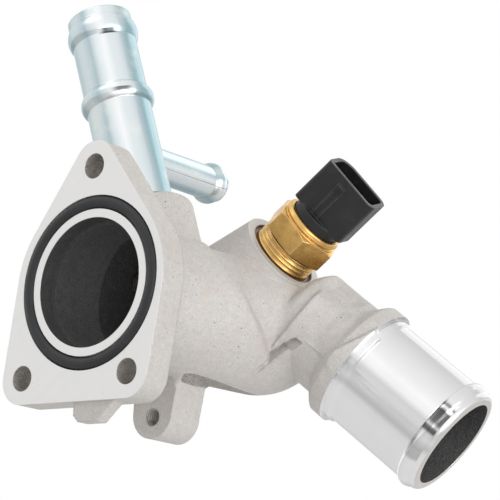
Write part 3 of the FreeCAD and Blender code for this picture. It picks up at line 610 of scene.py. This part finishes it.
def cast_material(settings):
    """Cast aluminium with its milled face, its turned neck with painted reflections, and painted
    shade inside the passages and bolt holes.
    """
    material, tree, shader, place = new_material("cast_aluminium")
    back = tree.node("ShaderNodeSeparateXYZ", {"Vector": place}).outputs["Y"]
    neck_side = facing_side(MOUTH, NECK_DIRECTION)
    neck = round_axis(tree, place, MOUTH, NECK_DIRECTION, neck_side)
    port = round_axis(tree, place, ORIGIN, BACK, RIGHT)
    seat = round_axis(tree, place, SENSOR, SENSOR_DIRECTION, BACK)
    passage = round_axis(tree, place, ORIGIN, PASSAGE_DIRECTION, UP)

    # Where the inside of the passages is painted dark as shade, and where the surface is machined
    behind = tree.above(back, BEHIND_FACE)
    past_elbow = tree.math("SUBTRACT", passage["Along"], PASSAGE_LENGTH)
    past_elbow = tree.math("MAXIMUM", past_elbow, 0.0)
    from_passage = tree.math("SQRT", tree.math(
        "ADD", tree.times(past_elbow, past_elbow), tree.times(passage["Radius"], passage["Radius"])
    ))
    inside = tree.any_of(
        tree.all_of(tree.below(port["Radius"], PORT_INSIDE), behind, tree.below(back, PORT_DEPTH)),
        tree.all_of(tree.below(tree.vector("LENGTH", place), PORT_BALL), behind),
        tree.all_of(tree.below(from_passage, PASSAGE_INSIDE), tree.above(back, PASSAGE_START)),
        tree.all_of(
            tree.below(neck["Radius"], NECK_INSIDE), tree.between(neck["Along"], *NECK_INSIDE_RUN)
        ),
    )
    face = tree.below(back, FACE_SKIN)
    neck_turned = tree.times(
        tree.above(neck["Along"], NECK_TURNED_START), tree.math("SUBTRACT", 1.0, inside)
    )
    seat_turned = tree.times(
        tree.below(seat["Radius"], SEAT_RADIUS), tree.between(seat["Along"], *SEAT_RUN)
    )
    machined = tree.any_of(face, neck_turned, seat_turned)
    groove = tree.times(
        tree.between(back, *GROOVE_DEPTHS), tree.between(port["Radius"], *GROOVE_RADII)
    )
    holes = []
    for name in ("bolt_hole_top", "bolt_hole_left", "bolt_hole_right"):
        hole = round_axis(tree, place, mount_axis(name)[0], BACK, RIGHT)
        holes.append(tree.times(tree.below(hole["Radius"], BOLT_HOLE_INSIDE), behind))
    bolt_holes = tree.any_of(*holes)

    grain = tree.group("Cast grain", Place=place, Grain=settings.grain_size)
    marks = tree.group("Turning marks", Along=neck["Along"], Step=0.00035, Place=place)
    reach = tree.blend(machined, settings.soft_radius, 0.0002)
    edge = tree.group("Edge wear", Reach=reach, Amount=0.5)

    cut = face_colour(tree, settings, grain, face, seat, place)
    cut = tree.mix(seat_turned, cut, seat_colour(tree, seat))
    cut = tree.mix(neck_turned, cut, neck_colour(tree, neck, marks))
    base = tree.mix(machined, skin_colour(tree, settings, grain, edge), cut)
    hollow = tree.step(grain["Height"], 0.45, 1.0)
    # Painted shade: the inside of the passages is painted near black, with some grain
    base = tree.mix(inside, base, tree.mix(hollow, settings.inside_shade_colour, INSIDE_SHADE_GRAIN))
    base = tree.mix(groove, base, GROOVE_TINT)
    # Painted shade on the walls of the bolt holes, mottled by the grain
    bolt_hole_shade = tree.mix(tree.step(grain["Height"], 0.4, 0.9), HOLE_SHADE_DARK, HOLE_SHADE_LIGHT)
    tree.put(shader.inputs["Base Color"], tree.mix(bolt_holes, base, bolt_hole_shade))

    metal = tree.blend(machined, 0.12, tree.blend(seat_turned, 1.0, 0.35))
    tree.put(shader.inputs["Metallic"], tree.blend(inside, metal, 0.0))
    rough = tree.blend(machined, tree.step(grain["Height"], 0.4, 1.0, 0.62, 0.5), 0.34)
    rough = tree.blend(neck_turned, tree.blend(seat_turned, rough, 0.55), 0.2)
    tree.put(shader.inputs["Roughness"], tree.blend(inside, rough, 0.6))
    relief = tree.blend(machined, grain["Height"], tree.times(marks["Height"], 0.04))
    relief = tree.blend(inside, relief, tree.times(grain["Height"], 1.6))
    tree.put(shader.inputs["Normal"], bump(tree, relief, 0.0003, edge["Soft normal"], 0.9))
    return material


def plated_material(settings, name, base_place, direction, shades=(), seam=False):
    """Zinc plating with painted reflections as long streaks round it, painted shade under the beads
    where given, and a straw tint; a branch also has a weld seam.
    """
    material, tree, shader, place = new_material(name)
    side = facing_side(base_place, direction)
    tube = round_axis(tree, place, base_place, direction, side)
    long_place = tree.node("ShaderNodeCombineXYZ", {
        "X": tree.times(tube["Along"], 9.0),
        "Y": tree.times(tube["Turn"], 9.0),
        "Z": 0.0,
    }).outputs[0]
    cloud = tree.noise(place, 70.0, 3.0, 0.6)
    streak = tree.noise(long_place, 1.0, 3.0, 0.55)
    # Painted reflections: grey levels round the pipe, with a little noise, between the zinc colour
    # and a pale highlight
    levels = tree.ramp(tree.math("MULTIPLY_ADD", streak, 0.05, tube["Turn"]), PIPE_PAINTED_REFLECTIONS)
    base = tree.mix(levels, settings.zinc_colour, ZINC_BRIGHT_REFLECTION)
    base = tree.mix(tree.step(cloud, 0.5, 0.68, 0.0, 0.3), base, settings.straw_colour)
    edge = tree.group("Edge wear", Reach=0.0004, Amount=0.6)
    base = tree.mix(tree.times(edge["Mask"], 0.5), base, ZINC_EDGE)
    for low, high, strength in shades:
        middle = tree.math("ABSOLUTE", tree.math("SUBTRACT", tube["Turn"], PIPE_SHADE_TURN))
        band = tree.between(tube["Along"], low, high)
        band = tree.times(band, tree.step(middle, 0.015, 0.06, strength, 0.0))
        base = tree.mix(band, base, ZINC_SHADE)
    if seam:
        line = tree.math("ABSOLUTE", tree.math("SUBTRACT", tube["Turn"], 0.5))
        line = tree.math("MULTIPLY_ADD", streak, 0.012, line)
        base = tree.mix(tree.step(line, 0.004, 0.012, 0.75, 0.0), base, WELD_SEAM)
    tree.put(shader.inputs["Base Color"], base)
    shader.inputs["Metallic"].default_value = 1.0
    tree.put(
        shader.inputs["Roughness"],
        tree.step(cloud, 0.3, 0.7, settings.roughness - 0.05, settings.roughness + 0.12),
    )
    fine = tree.noise(place, 1500.0, 2.0, 0.5)
    tree.put(shader.inputs["Normal"], bump(tree, fine, 0.00002, edge["Soft normal"], 0.6))
    return material


def brass_material(settings):
    """Turned brass, tarnished in its grooves and bright on its edges."""
    material, tree, shader, place = new_material("turned_brass")
    axis = round_axis(tree, place, SENSOR, SENSOR_DIRECTION, BACK)
    marks = tree.group("Turning marks", Along=axis["Along"], Step=0.00022, Place=place)
    edge = tree.group("Edge wear", Reach=0.0004, Amount=1.0)
    tarnish = tree.noise(place, 260.0, 4.0, 0.6)
    dull = tree.step(tarnish, 0.42, 0.72, 0.0, 0.6)
    base = tree.mix(dull, settings.brass_colour, settings.brass_dark)
    base = tree.mix(tree.step(marks["Shade"], 0.3, 0.7, 0.25, 0.0), base, settings.brass_dark)
    thread = tree.times(
        tree.below(axis["Radius"], SENSOR_THREAD_RADIUS),
        tree.step(axis["Along"], 0.0058, 0.0052, 0.0, 0.35),
    )
    base = tree.mix(thread, base, BRASS_DEEP)
    base = tree.mix(tree.times(edge["Mask"], 0.6), base, BRASS_EDGE)
    tree.put(shader.inputs["Base Color"], base)
    shader.inputs["Metallic"].default_value = 1.0
    tree.put(shader.inputs["Roughness"], tree.step(tarnish, 0.3, 0.7, 0.22, 0.4))
    relief = tree.math("MULTIPLY_ADD", marks["Height"], 0.5, tarnish)
    tree.put(shader.inputs["Normal"], bump(tree, relief, 0.00004, edge["Soft normal"], 0.7))
    return material


def plastic_material(settings):
    """Black moulded plastic with a fine spark-eroded grain and paler edges."""
    material, tree, shader, place = new_material("connector_plastic")
    grain = tree.noise(place, 2600.0, 3.0, 0.6)
    dust = tree.noise(place, 160.0, 4.0, 0.65)
    edge = tree.group("Edge wear", Reach=0.0004, Amount=1.0)
    dusty = tree.step(dust, 0.5, 0.75, 0.0, 0.5)
    base = tree.mix(dusty, settings.plastic_colour, PLASTIC_DUST)
    base = tree.mix(tree.times(edge["Mask"], 0.6), base, PLASTIC_EDGE)
    tree.put(shader.inputs["Base Color"], base)
    tree.put(shader.inputs["Roughness"], tree.step(dust, 0.3, 0.7, 0.36, 0.5))
    tree.put(shader.inputs["Normal"], bump(tree, grain, 0.00005, edge["Soft normal"], 0.7))
    return material


def rubber_material(settings):
    """Black rubber with a faint grey bloom."""
    material, tree, shader, place = new_material("ring_rubber")
    grain = tree.noise(place, 1800.0, 3.0, 0.6)
    bloom = tree.noise(place, 90.0, 3.0, 0.6)
    base = tree.mix(
        tree.step(bloom, 0.45, 0.75, 0.0, 0.5), settings.rubber_colour, RUBBER_BLOOM
    )
    tree.put(shader.inputs["Base Color"], base)
    tree.put(shader.inputs["Roughness"], tree.step(bloom, 0.3, 0.7, 0.42, 0.6))
    tree.put(shader.inputs["Normal"], bump(tree, grain, 0.00003))
    return material


def plain_metal(name, tint, roughness):
    """Small tinned or brazed metal pieces, with a brushed look."""
    material, tree, shader, place = new_material(name)
    brushed = tree.noise(place, 900.0, 3.0, 0.6)
    soil = tree.noise(place, 200.0, 3.0, 0.6)
    soiled = tuple(0.5 * level for level in tint)
    base = tree.mix(tree.step(soil, 0.45, 0.75, 0.0, 0.45), tint, soiled)
    tree.put(shader.inputs["Base Color"], base)
    shader.inputs["Metallic"].default_value = 1.0
    tree.put(shader.inputs["Roughness"], tree.step(soil, 0.3, 0.7, roughness, roughness + 0.15))
    tree.put(shader.inputs["Normal"], bump(tree, brushed, 0.00002))
    return material


# Meshes

def add_piece(name, mesh, material):
    """A new piece of the part, from a bmesh in place."""
    bmesh.ops.recalc_face_normals(mesh, faces=mesh.faces)
    data = bpy.data.meshes.new(name)
    mesh.to_mesh(data)
    mesh.free()
    data.shade_smooth()
    made = bpy.data.objects.new(name, data)
    bpy.context.scene.collection.objects.link(made)
    data.materials.append(material)
    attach(made, "root")
    return made


def axis_matrix(place, direction):
    """Puts what is modelled round +Z at the origin onto an axis of the part."""
    return Matrix.Translation(place) @ direction.to_track_quat("Z", "Y").to_matrix().to_4x4()


def follow(spots, points):
    """For many places: the distance to a line of points, the share along it, and the offset."""
    near = numpy.full(len(spots), numpy.inf)
    along = numpy.zeros(len(spots))
    offset = numpy.zeros((len(spots), 3))
    runs = len(points) - 1
    for i in range(runs):
        start, run = points[i], points[i + 1] - points[i]
        part = numpy.clip((spots - start) @ run / (run @ run), 0, 1)
        away = spots - (start + part[:, None] * run)
        distance = numpy.linalg.norm(away, axis=1)
        nearer = distance < near
        near[nearer] = distance[nearer]
        along[nearer] = (i + part[nearer]) / runs
        offset[nearer] = away[nearer]
    return near, along, offset


def fade(along, ends):
    """1 along a line, and down to 0 over a share of it at both ends."""
    from_end = numpy.minimum(along, 1 - along) / ends
    return numpy.clip(from_end, 0, 1)


def places(mesh):
    """All vertices' places in mm."""
    return numpy.array([v.co[:] for v in mesh.verts]) / MM


def refine(mesh, lines, rows):
    """Splits edges near some lines until they are short; rows are (distance, edge length) in mm."""
    widest = max(reach for reach, _ in rows)
    for _ in range(SPLIT_ROUNDS):
        edges = list(mesh.edges)
        middles = numpy.array([((e.verts[0].co + e.verts[1].co) / 2)[:] for e in edges]) / MM
        lengths = numpy.array([e.calc_length() for e in edges]) / MM
        near = numpy.full(len(edges), numpy.inf)
        for points in lines:
            spread = (widest + lengths / 2)[:, None]
            inside = (middles > numpy.min(points, axis=0) - spread) & (
                middles < numpy.max(points, axis=0) + spread
            )
            close = numpy.flatnonzero(inside.all(axis=1))
            found = follow(middles[close], points)[0] - lengths[close] / 2
            near[close] = numpy.minimum(near[close], found)
        limit = numpy.full(len(edges), numpy.inf)
        for reach, size in rows:
            limit[near < reach] = size
        split = [edges[i] for i in numpy.flatnonzero(lengths > limit)]
        if not split:
            break
        bmesh.ops.subdivide_edges(mesh, edges=split, cuts=1, use_single_edge=True)
        bmesh.ops.triangulate(mesh, faces=[f for f in mesh.faces if len(f.verts) > 3])


def lift_along(mesh, height, direction):
    """Moves each vertex by its own height in mm along one direction."""
    direction = Vector(direction).normalized() * MM
    for vert, amount in zip(mesh.verts, height):
        if amount:
            vert.co += direction * float(amount)


def laid_on(mesh, line, step=1.6):
    """A line's points set on the surface, at short steps along it."""
    surface = BVHTree.FromBMesh(mesh)
    spots = []
    for start, end in zip(line, line[1:]):
        count = max(1, round(float(numpy.linalg.norm(end - start)) / step))
        spots += [start + (end - start) * i / count for i in range(count)]
    spots.append(line[-1])
    return [numpy.array(surface.find_nearest(Vector(spot) * MM)[0]) / MM for spot in spots]


def swell(mesh, line, direction, height, width, ends):
    """Raises a rounded ridge along a line, or a hollow where the height is negative."""
    near, along, _ = follow(places(mesh), line)
    rise = height * numpy.exp(-((near / width) ** 2)) * fade(along, ends)
    rise[near > 3 * width] = 0
    lift_along(mesh, rise, direction)


def fillet(mesh, line, reach, rounds):
    """Smooths what is near a line, so that cast corners run into each other."""
    near = follow(places(mesh), line)[0]
    chosen = [v for v, distance in zip(mesh.verts, near) if distance < reach]
    for _ in range(rounds):
        bmesh.ops.smooth_vert(
            mesh, verts=chosen, factor=0.5, use_axis_x=True, use_axis_y=True, use_axis_z=True
        )


def mould_step(mesh, line, direction, side, lip, lip_run, drop, drop_run, edge, ends):
    """Raises a lip along a line, and sinks what lies past it on one side."""
    near, along, offset = follow(places(mesh), line)
    across = offset @ numpy.array(Vector(side).normalized())
    blend = numpy.clip(across / edge + 0.5, 0, 1)
    blend = blend * blend * (3 - 2 * blend)
    before = lip * numpy.exp(numpy.minimum(across, 0) / lip_run)
    beyond = drop * numpy.clip(1 - across / drop_run, 0, 1)
    rise = (before * (1 - blend) - beyond * blend) * fade(along, ends)
    rise *= numpy.clip(2 - near / (1.5 * lip_run), 0, 1)
    lift_along(mesh, rise, direction)


def sink_wedge(mesh, line, direction, side, depth, widths):
    """Sinks a wedge beside a line, deepest at its far wall, with a thin lip on the line."""
    near, along, offset = follow(places(mesh), line)
    across = offset @ numpy.array(Vector(side).normalized())
    width = numpy.interp(along, *widths)
    into = across / numpy.maximum(width, 0.05)
    rise = -depth * numpy.clip(into, 0, 1) * numpy.clip(width / WEDGE_FULL_WIDTH, 0, 1)
    rise *= numpy.clip((width + WEDGE_WALL - across) / WEDGE_WALL, 0, 1)
    lip = WEDGE_LIP * numpy.exp(-numpy.abs(across) / WEDGE_LIP)
    rise += lip * (across < 0.1) * fade(along, 0.1)
    rise[near > WEDGE_REACH] = 0
    lift_along(mesh, rise, direction)


class FLANGE_OT_casting(bpy.types.Operator):
    """Finishes the casting: fillets, swells, the mould's steps, its wedge and its seam"""

    bl_idname = "flange.casting"
    bl_label = "Casting"

    def execute(self, context):
        material = cast_material(context.scene.flange_casting)
        dress("housing", material)
        mesh = bmesh.new()
        mesh.from_mesh(NODES["housing"].data)
        bmesh.ops.remove_doubles(mesh, verts=mesh.verts, dist=1e-6)
        bmesh.ops.triangulate(mesh, faces=mesh.faces)
        soft = [row[0] for row in SWELLS] + [LUG_ROOT]
        sharp = [row[0] for row in STEPS] + [LEDGE]
        refine(mesh, soft + sharp, SOFT_MESH)
        for row in SWELLS:
            swell(mesh, *row)
        for row in FILLETS:
            fillet(mesh, *row)
        for row in STEPS:
            mould_step(mesh, *row)

        # The finest forms are laid on the surface as it now is
        edges = [laid_on(mesh, line) for line in (LEDGE, PARTING, COLLAR_FOOT)]
        refine(mesh, edges, SHARP_MESH)
        sink_wedge(mesh, laid_on(mesh, LEDGE), *WEDGE)
        swell(mesh, laid_on(mesh, PARTING), *SEAM)
        for edge in mesh.edges:
            edge.smooth = edge.calc_face_angle(0) < CAST_SHARP
        casting = add_piece("cast_housing", mesh, material)
        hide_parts("housing")
        return {"FINISHED"}


class FLANGE_OT_boss_heel(bpy.types.Operator):
    """Carries the sensor boss down onto the elbow's back, with a rounded end"""

    bl_idname = "flange.boss_heel"
    bl_label = "Boss heel"

    def execute(self, context):
        settings = context.scene.flange_casting
        mesh = bmesh.new()
        bmesh.ops.create_cone(
            mesh, cap_ends=True, segments=HEEL_SEGMENTS, radius1=settings.heel_end,
            radius2=settings.heel_start, depth=settings.heel_length,
        )
        end = [e for e in mesh.edges if max(v.co.z for v in e.verts) < 0]
        bmesh.ops.bevel(
            mesh, geom=end, offset=settings.heel_end / 2, segments=6, profile=0.5, affect="EDGES",
            material=-1,
        )
        middle = SENSOR - SENSOR_DIRECTION * (HEEL_TOP + settings.heel_length / 2)
        mesh.transform(axis_matrix(middle, SENSOR_DIRECTION))

        # The heel ends outside the water passage
        away = SENSOR_DIRECTION.cross(BACK)
        away -= PASSAGE_DIRECTION * away.dot(PASSAGE_DIRECTION)
        away.normalize()
        if away.z < 0:
            away.negate()
        bmesh.ops.bisect_plane(
            mesh, geom=mesh.verts[:] + mesh.edges[:] + mesh.faces[:],
            plane_co=away * PASSAGE_CLEAR, plane_no=away, clear_inner=True,
        )
        bmesh.ops.holes_fill(mesh, edges=[e for e in mesh.edges if e.is_boundary])
        heel = add_piece("boss_heel", mesh, bpy.data.materials["cast_aluminium"])
        heel.data.set_sharp_from_angle(angle=CAST_SHARP)
        return {"FINISHED"}


class FLANGE_OT_bracket_thread(bpy.types.Operator):
    """Adds the thread of the lug's hole: a ridge that winds along its wall"""

    bl_idname = "flange.bracket_thread"
    bl_label = "Bracket thread"

    def execute(self, context):
        settings = context.scene.flange_casting
        radius = mount_radius("bracket_thread")
        step = settings.thread_step
        turns = int(LUG_THICK / step) - 1
        mesh = bmesh.new()
        root, crest = radius + SUNK, radius - THREAD_HEIGHT
        profile = [(root, 0.04), (crest, 0.42), (crest, 0.58), (root, 0.96)]
        corners = [mesh.verts.new((x, 0, rise * step)) for x, rise in profile]
        edges = [mesh.edges.new(pair) for pair in zip(corners, corners[1:] + corners[:1])]
        bmesh.ops.spin(
            mesh, geom=corners + edges, axis=UP, cent=ORIGIN, dvec=UP * (step / THREAD_SEGMENTS),
            angle=math.tau * turns, steps=THREAD_SEGMENTS * turns,
        )
        bmesh.ops.holes_fill(mesh, edges=[e for e in mesh.edges if e.is_boundary], sides=4)
        start = LUG_PLACE - LUG_DIRECTION * (LUG_THICK / 2 - step * 0.1)
        mesh.transform(axis_matrix(start, LUG_DIRECTION))
        steel = plain_metal("thread_skin", (0.6, 0.58, 0.56), 0.4)
        add_piece("bracket_thread", mesh, steel)
        return {"FINISHED"}


class FLANGE_OT_pipes(bpy.types.Operator):
    """Plates the heater pipe and its branch, and adds the braze round the joint"""

    bl_idname = "flange.pipes"
    bl_label = "Pipes"

    def execute(self, context):
        settings = context.scene.flange_pipes
        dress("heater_pipe", plated_material(
            settings, "plated_pipe", HEATER, HEATER_DIRECTION, shades=PIPE_SHADES
        ))
        dress("bypass_pipe", plated_material(
            settings, "plated_branch", BRANCH, BACK, seam=True
        ))

        # The braze is a ring of three loops: each one's radius, and its height over the pipe
        pipe_radius = mount_radius("heater_spigot")
        branch_radius = mount_radius("bypass_spigot")
        size = settings.braze_radius
        loops = [
            (branch_radius - SUNK, size),
            (branch_radius + 0.4 * size, 0.3 * size),
            (branch_radius + size, -SUNK),
        ]
        mesh = bmesh.new()
        bmesh.ops.create_circle(mesh, segments=BRAZE_SEGMENTS, radius=loops[0][0])
        edges = list(mesh.edges)
        for radius, _ in loops[1:]:
            grown = bmesh.ops.extrude_edge_only(mesh, edges=edges)["geom"]
            edges = [item for item in grown if isinstance(item, bmesh.types.BMEdge)]
            for spot in grown:
                if isinstance(spot, bmesh.types.BMVert):
                    spot.co *= radius / spot.co.length
        mesh.transform(axis_matrix(BRANCH, BACK))
        for spot in mesh.verts:
            offset = spot.co - BRANCH
            offset.y = 0
            across = offset - HEATER_DIRECTION * offset.dot(HEATER_DIRECTION)
            on_pipe = math.sqrt(max(pipe_radius ** 2 - across.length ** 2, 0))
            height = min(loops, key=lambda loop: abs(loop[0] - offset.length))[1]
            spot.co.y = BRANCH.y + on_pipe + height
        bmesh.ops.bridge_loops(mesh, edges=[e for e in mesh.edges if e.is_boundary])
        braze = plain_metal("braze", (0.66, 0.74, 0.74), 0.3)
        add_piece("branch_braze", mesh, braze)
        return {"FINISHED"}


class FLANGE_OT_sensor(bpy.types.Operator):
    """Finishes the sensor's shell, connector, blades and inside"""

    bl_idname = "flange.sensor"
    bl_label = "Sensor"

    def execute(self, context):
        settings = context.scene.flange_sensor
        dress("sensor_body", brass_material(settings))
        dress("sensor_connector", plastic_material(settings))
        rubber = rubber_material(settings)
        dress("flange_o_ring", rubber)
        dress("connector_seal", rubber)
        tinned = plain_metal("tinned_blade", tuple(settings.blade_colour), 0.25)
        for node in ("terminal_left", "terminal_right", "lead_left", "lead_right"):
            dress(node, tinned)
        dress("thermistor", plain_metal("element_coat", (0.1, 0.1, 0.1), 0.5))
        dress("insulating_sleeve", plain_metal("sleeve", (0.8, 0.79, 0.75), 0.5))
        return {"FINISHED"}


class FLANGE_OT_stage(bpy.types.Operator):
    """Sets up the floor, the soft light and the camera"""

    bl_idname = "flange.stage"
    bl_label = "Stage"

    def execute(self, context):
        settings = context.scene.flange_stage
        scene = context.scene
        scene.view_settings.view_transform = "Standard"

        mesh = bmesh.new()
        bmesh.ops.create_grid(mesh, x_segments=1, y_segments=1, size=FLOOR_REACH)
        data = bpy.data.meshes.new("floor")
        mesh.to_mesh(data)
        mesh.free()
        floor = bpy.data.objects.new("floor", data)
        floor.location.z = settings.floor_height
        scene.collection.objects.link(floor)
        material, tree, shader, place = new_material("floor_paint")
        cloud = tree.step(tree.noise(place, 3.0, 2.0), 0.3, 0.7, 0.0, 0.04)
        tree.put(
            shader.inputs["Base Color"], tree.mix(cloud, settings.floor_colour, FLOOR_CLOUD)
        )
        shader.inputs["Roughness"].default_value = 0.7
        data.materials.append(material)

        world = bpy.data.worlds.new("studio")
        scene.world = world
        world.use_nodes = True
        tree = Tree(world.node_tree)
        ground = world.node_tree.nodes["Background"]
        way = tree.node("ShaderNodeLightPath").outputs
        seen = tree.any_of(
            way["Is Camera Ray"], way["Is Glossy Ray"], way["Is Transmission Ray"]
        )
        ground.inputs["Color"].default_value = (1, 1, 1, 1)
        tree.put(ground.inputs["Strength"], tree.blend(seen, settings.sky_strength, 1.0))

        for name, place, power, width in LAMPS:
            data = bpy.data.lights.new(name, "AREA")
            data.energy = power
            data.size = width
            lamp = bpy.data.objects.new(name, data)
            lamp.location = place
            aim = LAMP_AIM - Vector(place)
            lamp.rotation_euler = aim.to_track_quat("-Z", "Y").to_euler()
            scene.collection.objects.link(lamp)

        data = bpy.data.cameras.new("camera")
        data.lens = settings.lens
        data.sensor_width = 36
        data.clip_start = 0.01
        data.clip_end = 20
        camera = bpy.data.objects.new("camera", data)
        turned = Matrix((CAMERA_RIGHT, -CAMERA_DOWN, -CAMERA_AHEAD)).transposed().to_4x4()
        camera.matrix_world = Matrix.Translation(CAMERA_PLACE) @ turned
        scene.collection.objects.link(camera)
        scene.camera = camera
        return {"FINISHED"}


class FLANGE_PT_panel(bpy.types.Panel):
    bl_idname = "FLANGE_PT_panel"
    bl_label = "Coolant flange"
    bl_space_type = "VIEW_3D"
    bl_region_type = "UI"
    bl_category = "Flange"

    def draw(self, context):
        for group, _ in GROUPS:
            box = self.layout.box()
            settings = getattr(context.scene, group)
            for name in settings.__annotations__:
                box.prop(settings, name)
        for maker in OPERATORS:
            self.layout.operator(maker.bl_idname)


GROUPS = [
    ("flange_casting", CastingSettings),
    ("flange_pipes", PipeSettings),
    ("flange_sensor", SensorSettings),
    ("flange_stage", StageSettings),
]
OPERATORS = [
    FLANGE_OT_stage,
    FLANGE_OT_casting,
    FLANGE_OT_boss_heel,
    FLANGE_OT_bracket_thread,
    FLANGE_OT_pipes,
    FLANGE_OT_sensor,
]


def register():
    for name, group in GROUPS:
        bpy.utils.register_class(group)
        setattr(bpy.types.Scene, name, bpy.props.PointerProperty(type=group))
    for maker in (*OPERATORS, FLANGE_PT_panel):
        bpy.utils.register_class(maker)


def unregister():
    for maker in (FLANGE_PT_panel, *reversed(OPERATORS)):
        bpy.utils.unregister_class(maker)
    for name, group in reversed(GROUPS):
        delattr(bpy.types.Scene, name)
        bpy.utils.unregister_class(group)


def main():
    register()
    build_groups()
    for maker in OPERATORS:
        category, name = maker.bl_idname.split(".")
        getattr(getattr(bpy.ops, category), name)()


if __name__ == "__main__":
    main()
